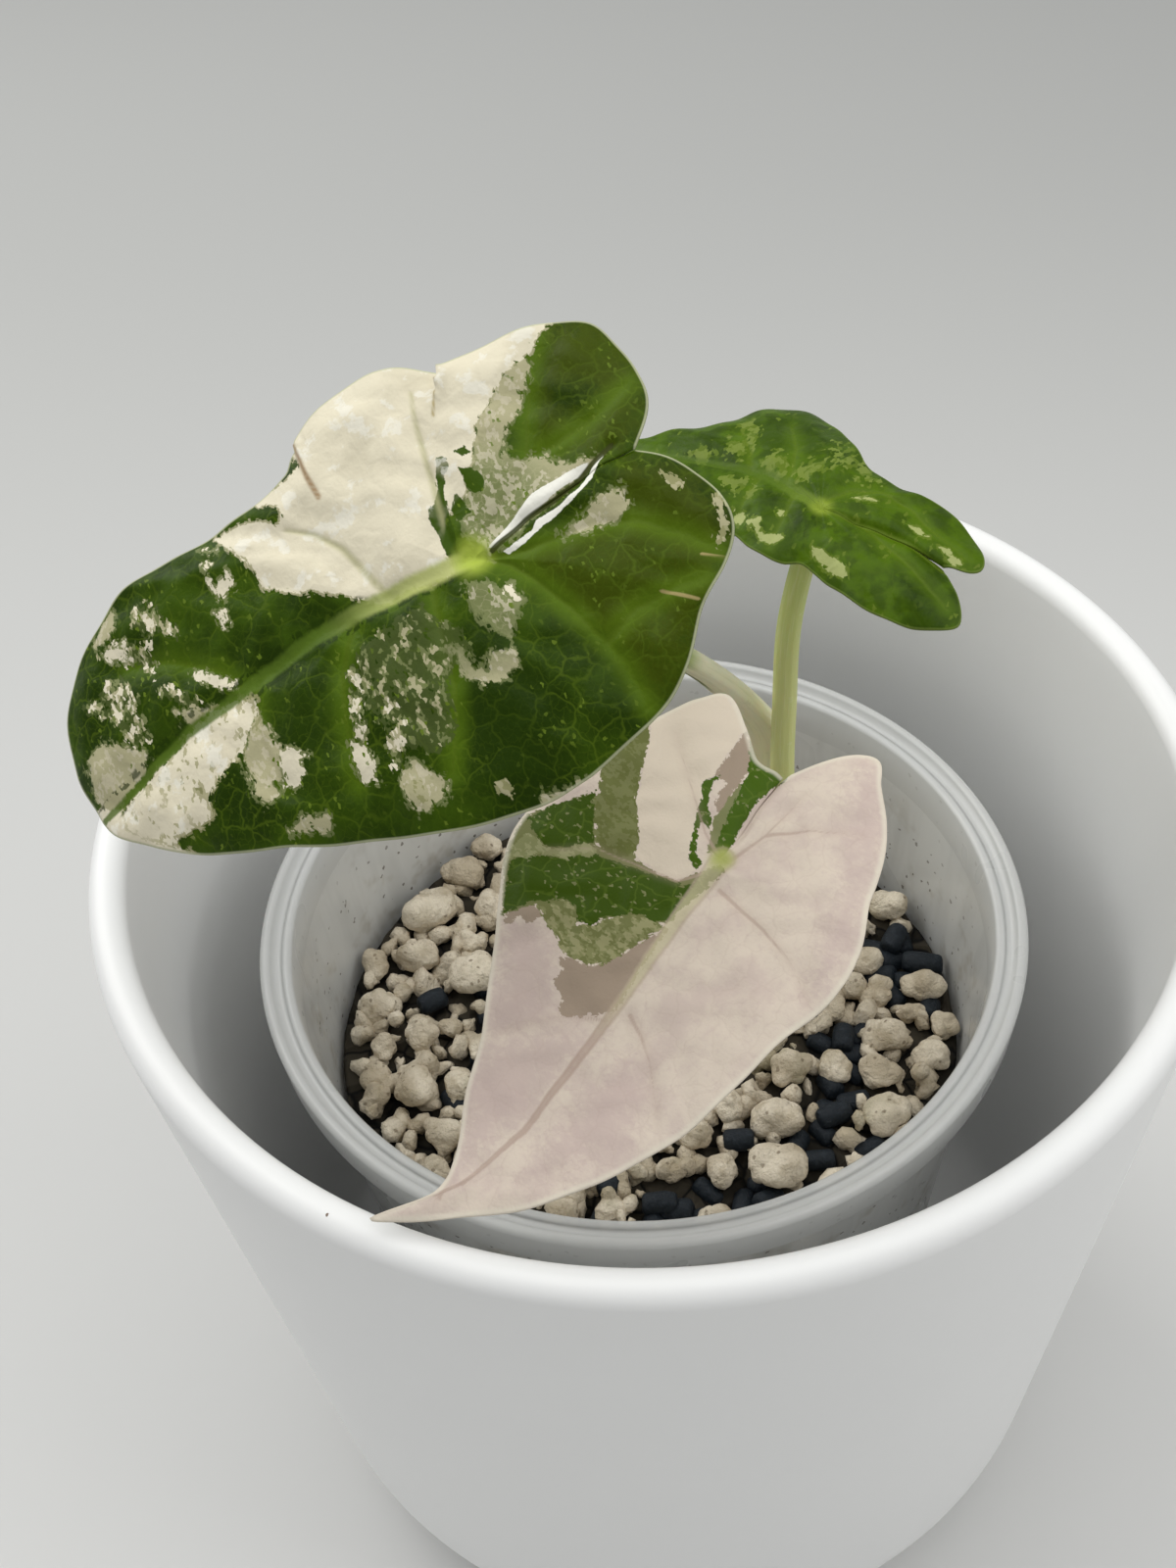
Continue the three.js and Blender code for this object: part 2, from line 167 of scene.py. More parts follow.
def newTree(name, inputs):
    # An empty geometry node tree with a geometry going in and out, and named inputs.
    tree = bpy.data.node_groups.new(name, "GeometryNodeTree")
    tree.interface.new_socket("Geometry", in_out="INPUT", socket_type="NodeSocketGeometry")
    tree.interface.new_socket("Geometry", in_out="OUTPUT", socket_type="NodeSocketGeometry")
    for label, kind, value in inputs:
        socket = tree.interface.new_socket(label, in_out="INPUT", socket_type="NodeSocket" + kind)
        if value is not None:
            socket.default_value = value
    start = tree.nodes.new("NodeGroupInput")
    wires = {socket.name: Wire(tree, socket) for socket in start.outputs if socket.name}
    return tree, Wire(tree), wires


def endTree(tree, geometry, material):
    whole = geometry.node("GeometryNodeRealizeInstances", {}, {"Geometry": geometry})
    painted = whole.node("GeometryNodeSetMaterial", {}, {"Geometry": whole, "Material": material})
    end = tree.nodes.new("NodeGroupOutput")
    tree.links.new(painted.socket, end.inputs[0])


def grow(piece, tree, **values):
    # Runs a tree on a piece and keeps the result as a plain mesh.
    modifier = piece.modifiers.new(tree.name, "NODES")
    modifier.node_group = tree
    for socket in tree.interface.items_tree:
        label = socket.name.replace(" ", "")
        label = label[:1].lower() + label[1:]
        if socket.in_out == "INPUT" and label in values:
            modifier[socket.identifier] = values[label]
    seen = bpy.context.evaluated_depsgraph_get()
    mesh = bpy.data.meshes.new_from_object(piece.evaluated_get(seen))
    piece.modifiers.remove(modifier)
    rough = piece.data
    piece.data = mesh
    bpy.data.meshes.remove(rough)
    mesh.name = piece.name
    mesh.shade_smooth()
    return piece


def newPiece(name, points, faces, material=None, edges=()):
    # points in millimetres
    mesh = bpy.data.meshes.new(name)
    mesh.from_pydata((np.asarray(points, float) * mm).tolist(), edges, faces)
    if material:
        mesh.materials.append(material)
    mesh.shade_smooth()
    piece = bpy.data.objects.new(name, mesh)
    scene.collection.objects.link(piece)
    return piece


def addField(piece, name, values, kind="FLOAT"):
    # Stores one number or vector for each vertex.
    field = piece.data.attributes.new(name, kind, "POINT")
    key = "value" if kind == "FLOAT" else "vector"
    field.data.foreach_set(key, np.asarray(values, np.float32).ravel())


def stand(piece, slot, *nodes):
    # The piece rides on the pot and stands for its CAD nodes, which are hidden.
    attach(piece, "root")
    if nodes:
        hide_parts(*nodes)


def through(points, x):
    # Smooth curve through [x, value] points, as numbers or arrays.
    xs, ys = np.array(points, float).T
    x = np.asarray(x, float)
    slopes = np.empty(len(xs))
    slopes[1:-1] = (ys[2:] - ys[:-2]) / (xs[2:] - xs[:-2])
    slopes[0] = (ys[1] - ys[0]) / (xs[1] - xs[0])
    slopes[-1] = (ys[-1] - ys[-2]) / (xs[-1] - xs[-2])
    i = np.clip(np.searchsorted(xs, x, side="right") - 1, 0, len(xs) - 2)
    step = xs[i + 1] - xs[i]
    t = (x - xs[i]) / step
    return ((2 * t**3 - 3 * t**2 + 1) * ys[i] + (t**3 - 2 * t**2 + t) * step * slopes[i]
            + (3 * t**2 - 2 * t**3) * ys[i + 1] + (t**3 - t**2) * step * slopes[i + 1])


def smooth(x, low, high):
    t = np.clip((x - low) / (high - low), 0, 1)
    return t * t * (3 - 2 * t)


def lineDistance(places, line):
    # Distance of each place to a line of points, and the share of the line there.
    best = np.full(len(places), 1e9)
    share = np.zeros(len(places))
    line = np.asarray(line, float)
    for i, (a, b) in enumerate(zip(line, line[1:])):
        side = b - a
        along = np.clip((places - a) @ side / (side @ side), 0, 1)
        away = np.hypot(*(places - a - along[:, None] * side).T)
        near = away < best
        best[near] = away[near]
        share[near] = (i + along[near]) / (len(line) - 1)
    return best, share


farAway = 6.0            # no mark on a leaf reaches further than this, in mm


def patchDepth(places, outlines):
    # How deep each place lies inside the nearest outline; negative outside.
    deepest = np.full(len(places), -farAway)
    x, y = places.T
    for outline in outlines:
        ring = list(outline) + [outline[0]]
        away, _ = lineDistance(places, ring)
        within = np.zeros(len(places), bool)
        for (x0, y0), (x1, y1) in zip(ring, ring[1:]):
            if y0 != y1:
                crossing = (y0 > y) != (y1 > y)
                within ^= crossing & (x < x0 + (y - y0) * (x1 - x0) / (y1 - y0))
        deepest = np.maximum(deepest, np.where(within, away, -away))
    return np.maximum(deepest, -farAway)


# The camera of the photo, fitted to the rims of the two pots.
photoCamera = {
    "distance": 235.35,      # mm from the middle of the cachepot's rim
    "rimHeight": 130,
    "elevation": 45.79,
    "yaw": 1.83,
    "pitch": 0.34,
    "roll": 3.12,
    "focalLength": 43.4,     # for 36 mm along the long side
}


def addCamera(setup):
    tilt = math.radians(setup["elevation"])
    back = setup["distance"] * math.cos(tilt)
    raised = setup["rimHeight"] + setup["distance"] * math.sin(tilt)
    ahead = Vector((0, math.cos(tilt), -math.sin(tilt)))
    right = Vector((1, 0, 0))
    up = right.cross(ahead)
    yaw = Matrix.Rotation(math.radians(setup["yaw"]), 3, up)
    ahead, right = yaw @ ahead, yaw @ right
    pitch = Matrix.Rotation(math.radians(setup["pitch"]), 3, right)
    ahead, up = pitch @ ahead, pitch @ up
    roll = Matrix.Rotation(math.radians(setup["roll"]), 3, ahead)
    right, up = roll @ right, roll @ up
    camera = bpy.data.objects.new("photoCamera", bpy.data.cameras.new("photoCamera"))
    camera.data.lens = setup["focalLength"]
    camera.data.sensor_width = 36
    camera.data.clip_start = 0.01
    turn = Matrix((right, up, -ahead)).transposed().to_4x4()
    camera.matrix_world = Matrix.Translation(Vector((0, -back, raised)) * mm) @ turn
    scene.collection.objects.link(camera)
    scene.camera = camera


addCamera(photoCamera)

# Soft studio light on a pale sweep.
studio = {
    "worldStrength": 0.4,
    "worldColour": (0.98, 0.99, 1.0),
    "lampColour": (1.0, 0.995, 0.97),
    # place, size in mm, power in W
    "topLamp": ((0, 0, 800), 700, 2.5),
    "leftLamp": ((-500, 400, 600), 600, 3.0),
    "rightLamp": ((600, -100, 600), 600, 1.7),
    "floorSize": 9000,
    # Painted shade: the floor is painted darker from near to far, where less light reaches it.
    "floorNear": (0.70, 0.70, 0.69),
    "floorFar": (0.47, 0.475, 0.465),
    "floorBlend": (-150, 420),                         # from near to far, along Y
    "aim": (0, 0, 120),
}


def addLamp(name, colour, aim, place, size, power):
    lamp = bpy.data.lights.new(name, "AREA")
    lamp.size = size * mm
    lamp.energy = power
    lamp.color = colour
    holder = bpy.data.objects.new(name, lamp)
    aim = Vector(aim) - Vector(place)
    holder.matrix_world = (Matrix.Translation(Vector(place) * mm)
                           @ aim.to_track_quat("-Z", "Y").to_matrix().to_4x4())
    scene.collection.objects.link(holder)


def addStudio(setup):
    world = bpy.data.worlds.new("studio")
    world.use_nodes = True
    sky = world.node_tree.nodes["Background"]
    sky.inputs["Color"].default_value = (*setup["worldColour"], 1)
    sky.inputs["Strength"].default_value = setup["worldStrength"]
    scene.world = world
    scene.view_settings.view_transform = "Standard"
    for name in ("topLamp", "leftLamp", "rightLamp"):
        addLamp(name, setup["lampColour"], setup["aim"], *setup[name])
    material, draw, shader = newFinish("floorPaper", Roughness=0.9)
    back = draw.node("ShaderNodeSeparateXYZ", {}, {0: draw.place()}, "Y")
    # Painted shade: darker towards the back of the floor.
    far = back.ease(*(edge * mm for edge in setup["floorBlend"]))
    feed(draw, shader, draw.tint(far, setup["floorNear"], setup["floorFar"]))
    half = setup["floorSize"] / 2
    corners = [(-half, -half, 0), (half, -half, 0), (half, half, 0), (-half, half, 0)]
    newPiece("floor", corners, [(0, 1, 2, 3)], material)


addStudio(studio)
print("camera and studio ready")


# Turned parts: a profile of (radius, height) in millimetres goes round Z.
def turningTree():
    tree, draw, given = newTree("turnProfile", [
        ("Segments", "Int", 192), ("Ripple", "Float", 0.0), ("Ripple Scale", "Float", 300.0),
        ("Material", "Material", None)])
    profile = draw.node("GeometryNodeMeshToCurve", {}, {0: given["Geometry"]})
    ring = draw.node("GeometryNodeCurvePrimitiveCircle", {},
                     {"Resolution": given["Segments"], "Radius": 1.0})
    body = draw.node("GeometryNodeCurveToMesh", {}, {"Curve": ring, "Profile Curve": profile})
    body = draw.node("GeometryNodeMergeByDistance", {}, {"Geometry": body, "Distance": 2e-6})
    spot = draw.node("GeometryNodeInputPosition")
    facing = draw.node("GeometryNodeInputNormal")
    bumps = (draw.noise(spot, given["Ripple Scale"], 3, 0.6) - 0.5) * given["Ripple"]
    push = draw.node("ShaderNodeVectorMath", {"operation": "SCALE"},
                     {0: facing, "Scale": bumps})
    body = draw.node("GeometryNodeSetPosition", {}, {"Geometry": body, "Offset": push})
    endTree(tree, body, given["Material"])
    return tree


turnProfile = turningTree()


def turned(name, profile, material, centre=(0, 0), ripple=0.0, rippleSize=3.0, segments=192):
    # The tree's circle has a radius of 1 m, so the profile starts from there.
    points = [(radius - 1 / mm, -height, 0) for radius, height in reversed(profile)]
    edges = [(i, i + 1) for i in range(len(points) - 1)]
    piece = newPiece(name, points, [], None, edges)
    grow(piece, turnProfile, segments=segments, ripple=ripple * mm,
         rippleScale=1 / (rippleSize * mm), material=material)
    piece.data.transform(Matrix.Translation((centre[0] * mm, centre[1] * mm, 0)))
    return piece


def arc(centreRadius, centreHeight, radius, start, end, steps):
    angles = np.radians(np.linspace(start, end, steps + 1))
    return [(centreRadius + radius * math.cos(a), centreHeight + radius * math.sin(a))
            for a in angles]


def evenly(profile, step):
    # The same profile with no straight longer than step.
    points = [profile[0]]
    for (r0, z0), (r1, z1) in zip(profile, profile[1:]):
        parts = max(1, round(math.hypot(r1 - r0, z1 - z0) / step))
        points += [(r0 + (r1 - r0) * k / parts, z0 + (z1 - z0) * k / parts)
                   for k in range(1, parts + 1)]
    return points


cachepot = {
    "height": 130,
    "rimRadius": 70,
    "footRadius": 57.5,      # where the straight side would meet the floor line
    "wall": 4.7,
    "floor": 4.5,
    "footRound": 24,
    "white": (0.86, 0.865, 0.86),
    "specks": [(-35.5, -58.2, 129.5, 0.9), (64.4, -20.1, 128.3, 0.7)],   # place and size, mm
    "speckBrown": (0.16, 0.10, 0.06),
}


def cachepotFinish(setup):
    material, draw, shader = newFinish("satinWhiteGlaze", Specular_IOR_Level=0.45,
                                       Coat_Weight=0.15, Coat_Roughness=0.3)
    place = draw.place()
    cloud = draw.noise(place, 18, 1, 0.55)
    pale = tuple(1.03 * part for part in setup["white"])
    colour = draw.tint(cloud, setup["white"], pale)
    uneven = draw.shaken(place, 900, 0.0006)
    for x, y, z, size in setup["specks"]:
        away = draw.node("ShaderNodeVectorMath", {"operation": "DISTANCE"},
                         {0: uneven, 1: (x * mm, y * mm, z * mm)}, "Value")
        colour = draw.tint(away < size * mm / 2, colour, setup["speckBrown"])
    pits = draw.noise(place, 900, 0)
    waves = draw.noise(place, 60, 1)
    feed(draw, shader, colour, 0.36 + 0.12 * draw.noise(place, 140, 1),
         pits * 0.2 + waves, 0.00012, 0.5)
    return material


def makeCachepot(setup):
    lean = math.degrees(math.atan((setup["rimRadius"] - setup["footRadius"]) / setup["height"]))
    slope = math.tan(math.radians(lean))
    rise = setup["footRound"]
    lip = setup["wall"] / 2
    roundRadius = setup["footRadius"] + rise * slope - rise / math.cos(math.radians(lean))
    profile = [(0, 0), *arc(roundRadius, rise, rise, -90, -lean, 28)]
    profile += arc(setup["rimRadius"] - lip, setup["height"] - lip, lip, -lean, 180 - lean, 20)
    profile += [*arc(roundRadius, rise, rise - setup["floor"], -lean, -90, 24),
                (0, setup["floor"])]
    pot = turned("cachepot_body", evenly(profile, 3.2), cachepotFinish(setup))
    stand(pot, "cachepot_glaze", "cachepot")


makeCachepot(cachepot)
print("cachepot made")

innerCup = {
    "centre": (-2.1, 0),
    "stand": 4.8,
    "rimHeight": 107.8,
    "ledgeDrop": 1.1,        # from the rim down to the flat ledge inside it
    "waist": 60,             # a height at which the wall gets one more point
    "mouthRadius": 46.5,
    "taper": 0.1,            # radius lost for each mm down
    "wall": 0.9,
    "rimRadius": 50.7,
    "skirt": 4.6,
    "footRound": 4,
    "bead": 0.8,
    "milk": (0.80, 0.81, 0.80),
    # Painted shade: the rim's colour, darker than the milk.
    "ledge": (0.69, 0.70, 0.69),
    "dust": (0.42, 0.37, 0.28),
    "drip": (0.62, 0.63, 0.62),
    "crumb": (0.10, 0.075, 0.05),
    "seeThrough": 0.73,      # 1 would be solid
    "dustTop": 103.5,        # the dust grows over dustDepth below this height
    "dustDepth": 12,
    "marked": (102.1, 106.2),                          # small dark marks between these heights
    "ledgeFrom": 101.5,      # painted shade: the rim is painted darker from here up
}


def cupFinish(setup):
    material, draw, shader = newFinish("milkyPlastic", Alpha=setup["seeThrough"],
                                       Specular_IOR_Level=0.6, Coat_Weight=0.3,
                                       Coat_Roughness=0.15)
    place = draw.place()
    height = draw.node("ShaderNodeSeparateXYZ", {}, {0: place}, "Z")
    cloud = draw.noise(place, 55, 2, 0.65)
    colour = draw.tint(cloud.ease(0.35, 0.75), setup["milk"],
                       tuple(1.08 * part for part in setup["milk"]))
    inside = (setup["dustTop"] * mm - height).ease(0.0, setup["dustDepth"] * mm)
    dusty = inside * draw.noise(place, 130, 3, 0.7).ease(0.5, 0.7) * 0.55
    colour = draw.tint(dusty, colour, setup["dust"])
    crumbs = (draw.cells(draw.shaken(place, 900, 0.0004), 2200) > 0.988) * inside
    low, high = (edge * mm for edge in setup["marked"])
    skirt = (height > low) * (high - height > 0.0)
    marks = (draw.cells(place, 2100) > 0.985) * skirt
    drips = draw.noise(draw.node("ShaderNodeVectorMath", {"operation": "MULTIPLY"},
                                 {0: place, 1: (1, 1, 0.12)}), 260, 2, 0.6)
    colour = draw.tint(drips.ease(0.45, 0.7) * 0.35, colour, setup["drip"])
    colour = draw.tint(crumbs.most(marks) * 0.8, colour, setup["crumb"])
    # Painted shade: the rim is painted darker from here up.
    colour = draw.tint((height > setup["ledgeFrom"] * mm) * 0.8, colour, setup["ledge"])
    scratches = draw.noise(place, 420, 2, 0.6)
    feed(draw, shader, colour, 0.16 + 0.3 * cloud, scratches * 0.3 + cloud, 0.0002, 0.5)
    return material


def cupMouth(setup, z):
    return setup["mouthRadius"] - setup["taper"] * (setup["rimHeight"] - z)


def makeCup(setup):
    wall, bead, skirt = setup["wall"], setup["bead"], setup["skirt"]
    ledge, waist = setup["rimHeight"] - setup["ledgeDrop"], setup["waist"]
    foot = setup["stand"] + wall
    footRadius = cupMouth(setup, foot + setup["footRound"]) - setup["footRound"]
    middle = foot + setup["footRound"]
    rim = setup["rimRadius"]
    profile = [(0, setup["stand"])]
    profile += arc(footRadius, middle, setup["footRound"] + wall, -87, -4, 10)
    profile += [(cupMouth(setup, waist) + wall, waist),
                (cupMouth(setup, ledge - skirt) + wall, ledge - skirt),
                *arc(cupMouth(setup, ledge) + wall + 0.5, ledge - wall - 0.5, 0.5, 178, 92, 4),
                *arc(rim - 1.7, ledge - wall - 0.6, 0.6, 88, 2, 4),
                (rim - 1.1, ledge - skirt + 0.2),
                *arc(rim - 0.75, ledge - skirt + 0.35, 0.35, 190, 350, 6)]
    profile += arc(rim - bead, setup["rimHeight"] - bead, bead, 0, 150, 14)
    profile += [(rim - 1.9, ledge + 0.12), (rim - 2.3, ledge), (rim - 2.9, ledge + 0.02),
                (cupMouth(setup, ledge) + 1.5, ledge + 0.2),
                (cupMouth(setup, ledge) + 0.9, ledge + 0.32),
                (cupMouth(setup, ledge) + 0.4, ledge + 0.2),
                (cupMouth(setup, ledge) + 0.1, ledge - 0.2),
                (cupMouth(setup, ledge - 5), ledge - 5),
                (cupMouth(setup, waist), waist)]
    profile += [*arc(footRadius, middle, setup["footRound"], -4, -90, 10), (0, foot)]
    cup = turned("inner_cup_shell", evenly(profile, 4), cupFinish(setup), setup["centre"])
    stand(cup, "cup_plastic", "inner_cup")


makeCup(innerCup)
print("inner cup made")

# The fill: a packed bed, then loose lumps and pellets on it.
fill = {
    "bedTop": 82.5,
    "rest": 0.3,
    "stemCentre": (15, 8),
    "stemRoom": 6.6,
    "crowd": 6e5,            # tries for each square metre, thinned to the spacing
    "bigSpacing": 4.6,
    "smallSpacing": 2.45,
    "pelletSpacing": 3.2,
    "beige": (0.52, 0.445, 0.33),
    "cream": (0.78, 0.70, 0.565),
    "stain": (0.36, 0.29, 0.18),
    "moss": (0.42, 0.385, 0.25),
    # The pores are real holes, painted dark as the shade inside them.
    "pore": (0.21, 0.165, 0.11),
    "shade": (0.018, 0.015, 0.011),
    # Painted shade for the gaps between the packed stones.
    "gapBlack": (0.004, 0.004, 0.004),
    "coal": (0.006, 0.011, 0.017),
    "coalDust": (0.030, 0.040, 0.052),
    # dark hollows full of pellets: x, y, radius in mm
    "hollows": [(-22, 7, 4.5), (-24, -7, 3), (34, 10, 4), (38, 7, 3.5), (25, -6, 3),
                (24, -13, 3.5), (19, -23, 4), (8, -30, 5), (0, -32, 3.5)],
}


def pumiceFinish(setup):
    material, draw, shader = newFinish("pumiceStone", Roughness=0.95, Specular_IOR_Level=0.2)
    place = draw.place()
    patch = draw.noise(place, 130, 2, 0.5)
    colour = draw.tint(patch.ease(0.35, 0.62), setup["beige"], setup["cream"])
    colour = draw.tint(draw.noise(place, 70, 3, 0.6).ease(0.56, 0.72) * 0.7, colour,
                       setup["moss"])
    colour = draw.tint(draw.noise(place, 330, 4, 0.6).ease(0.5, 0.68) * 0.5, colour,
                       setup["stain"])
    grain = draw.noise(place, 1500, 2, 0.7)
    colour = draw.tint(grain.ease(0.5, 0.8) * 0.25, colour, setup["moss"])
    wobbly = draw.shaken(place, 1200, 0.0007)
    middle = draw.cells(wobbly, 900, "Distance")
    chosen = draw.cells(wobbly, 900) > 0.84
    shadedPores = (1 - middle.ease(0.16, 0.34)) * chosen
    tiny = 1 - draw.cells(wobbly, 2600, "Distance").ease(0.1, 0.3)
    shadedPores = shadedPores.most(tiny * 0.3)
    # Pores: real holes, with their inner shade painted dark.
    colour = draw.tint(shadedPores * 0.75, colour, setup["pore"])
    coarse = draw.noise(place, 480, 3, 0.65)
    feed(draw, shader, colour, None, coarse * 1.6 + grain * 0.5, 0.0006, 0.9)
    return material


def coalFinish(setup):
    material, draw, shader = newFinish("charcoalPellet", Specular_IOR_Level=0.35)
    place = draw.place()
    grain = draw.noise(place, 1300, 3, 0.7)
    colour = draw.tint(grain.ease(0.45, 0.8) * 0.7, setup["coal"], setup["coalDust"])
    feed(draw, shader, colour, 0.5 + 0.3 * grain, grain, 0.0003, 0.8)
    return material


def bedFinish(setup):
    # Only its top, painted near black as the shade among the stones, and its side, through the
    # cup's wall, can be seen.
    material, draw, shader = newFinish("packedFill", Roughness=0.95, Specular_IOR_Level=0.2)
    place = draw.place()
    wobbly = draw.shaken(place, 260, 0.002)
    stone = draw.cells(wobbly, 190)
    gap = draw.net(wobbly, 190)
    colour = draw.tint(stone > 0.55, setup["coal"], setup["beige"])
    colour = draw.tint(draw.noise(place, 900, 4, 0.7) * 0.5, colour, setup["moss"])
    height = draw.node("ShaderNodeSeparateXYZ", {}, {0: place}, "Z")
    # Painted shade: the bed's top goes near black, as the shade beneath the loose stones.
    paintedTopShade = (height > (setup["bedTop"] - 2) * mm) * 0.93
    colour = draw.tint(paintedTopShade, colour, setup["shade"])
    # Painted shade: the gaps between the packed stones go black.
    colour = draw.tint(1 - gap.ease(0.0, 0.09), colour, setup["gapBlack"])
    feed(draw, shader, colour, None, gap.ease(0.0, 0.3), 0.0012, 0.9)
    return material


def knobby(draw, spot, scale, depth, seed=0.0):
    # Round knobs with creases between them, and finer dents.
    knob = draw.node("ShaderNodeTexVoronoi", {"voronoi_dimensions": "4D", "feature": "SMOOTH_F1"},
                     {"Vector": spot, "W": seed, "Scale": scale, "Smoothness": 0.28})
    dent = draw.node("ShaderNodeTexNoise", {"noise_dimensions": "4D"},
                     {"Vector": spot, "W": seed, "Scale": scale * 2.2, "Detail": 2.0})
    return ((0.42 - knob) + (dent - 0.5) * 0.45) * depth


def stoneTree():
    # Rounds a faceted lump off and gives it knobs and dents.
    tree, draw, given = newTree("weatherStone", [
        ("Levels", "Int", 2), ("Knobs", "Float", 0.0), ("Knob Scale", "Float", 260.0),
        ("Grow", "Float", 0.0), ("Seed", "Float", 0.0), ("Material", "Material", None)])
    body = draw.node("GeometryNodeSubdivisionSurface", {},
                     {"Mesh": given["Geometry"], "Level": given["Levels"]})
    spot = draw.node("GeometryNodeInputPosition")
    facing = draw.node("GeometryNodeInputNormal")
    push = knobby(draw, spot, given["Knob Scale"], given["Knobs"], given["Seed"])
    push = draw.node("ShaderNodeVectorMath", {"operation": "SCALE"},
                     {0: facing, "Scale": push + given["Grow"]})
    body = draw.node("GeometryNodeSetPosition", {}, {"Geometry": body, "Offset": push})
    endTree(tree, body, given["Material"])
    return tree


def scatterTree():
    # Strews turned and sized copies of one stone over the open part of a bed.
    tree, draw, given = newTree("strewStones", [
        ("Stone", "Object", None), ("Spacing", "Float", 0.004), ("Crowd", "Float", 9e4),
        ("Smallest", "Float", 0.7), ("Largest", "Float", 1.2), ("Tumble", "Float", 3.1),
        ("Sink", "Float", 0.0), ("Heap", "Float", 0.001), ("Knobs", "Float", 0.0),
        ("Seed", "Int", 1), ("Material", "Material", None)])
    room = draw.node("GeometryNodeInputNamedAttribute", {"data_type": "FLOAT"}, {"Name": "room"})
    spots = draw.node("GeometryNodeDistributePointsOnFaces", {"distribute_method": "POISSON"},
                      {"Mesh": given["Geometry"], "Distance Min": given["Spacing"],
                       "Density Max": given["Crowd"], "Density Factor": room,
                       "Seed": given["Seed"]})
    lift = draw.node("FunctionNodeRandomValue", {"data_type": "FLOAT"},
                     {2: 0.0, 3: given["Heap"], "Seed": given["Seed"]}, 1) - given["Sink"]
    offset = draw.node("ShaderNodeCombineXYZ", {}, {"Z": lift})
    spots = draw.node("GeometryNodeSetPosition", {}, {"Geometry": spots, "Offset": offset})
    model = draw.node("GeometryNodeObjectInfo", {}, {"Object": given["Stone"]}, "Geometry")
    tumble = draw.node("ShaderNodeCombineXYZ", {}, {"X": given["Tumble"], "Y": given["Tumble"],
                                                    "Z": 6.28})
    turn = draw.node("FunctionNodeRandomValue", {"data_type": "FLOAT_VECTOR"},
                     {1: tumble, "Seed": given["Seed"] + 5})
    low = draw.node("ShaderNodeCombineXYZ", {}, {axis: given["Smallest"] for axis in "XYZ"})
    high = draw.node("ShaderNodeCombineXYZ", {}, {axis: given["Largest"] for axis in "XYZ"})
    size = draw.node("FunctionNodeRandomValue", {"data_type": "FLOAT_VECTOR"},
                     {0: low, 1: high, "Seed": given["Seed"] + 9})
    stones = draw.node("GeometryNodeInstanceOnPoints", {},
                       {"Points": spots, "Instance": model, "Rotation": turn, "Scale": size})
    stones = draw.node("GeometryNodeRealizeInstances", {}, {"Geometry": stones})
    spot = draw.node("GeometryNodeInputPosition")
    facing = draw.node("GeometryNodeInputNormal")
    push = knobby(draw, spot, 300, given["Knobs"])
    push = draw.node("ShaderNodeVectorMath", {"operation": "SCALE"}, {0: facing, "Scale": push})
    stones = draw.node("GeometryNodeSetPosition", {}, {"Geometry": stones, "Offset": push})
    endTree(tree, stones, given["Material"])
    return tree


pumiceStone = pumiceFinish(fill)
charcoalPellet = coalFinish(fill)
weatherStone = stoneTree()
strewStones = scatterTree()


def mergedCopy(name, node):
    # A CAD mesh is loose triangles, so the copy's corners are joined.
    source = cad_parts[node]
    mesh = source.data.copy()
    mesh.materials.clear()
    piece = bpy.data.objects.new(name, mesh)
    scene.collection.objects.link(piece)
    tree, draw, given = newTree("joinCorners", [("Material", "Material", None)])
    joined = draw.node("GeometryNodeMergeByDistance", {},
                       {"Geometry": given["Geometry"], "Distance": 1e-5})
    endTree(tree, joined, given["Material"])
    grow(piece, tree, material=pumiceStone)
    bpy.data.node_groups.remove(tree)
    return piece


def makeLooseStones(setup):
    # Every lump and pellet of the top layer that is a piece of its own.
    nodes = sorted(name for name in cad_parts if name.startswith(("pumice", "charcoal")))
    for number, node in enumerate(nodes):
        isPumice = node.startswith("pumice")
        piece = mergedCopy(node.replace("pumice", "lump").replace("charcoal", "pellet"), node)
        low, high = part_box(node)
        width = (high - low).x
        grow(piece, weatherStone, levels=2,
             knobs=(0.36 if isPumice else 0.05) * width,
             knobScale=1.75 / width, grow=(0.09 if isPumice else 0.03) * width,
             seed=number * 3.7, material=pumiceStone if isPumice else charcoalPellet)
        stand(piece, "pumice" if isPumice else "charcoal", node)
    return nodes


looseNodes = makeLooseStones(fill)
print(len(looseNodes), "loose lumps and pellets shaped")


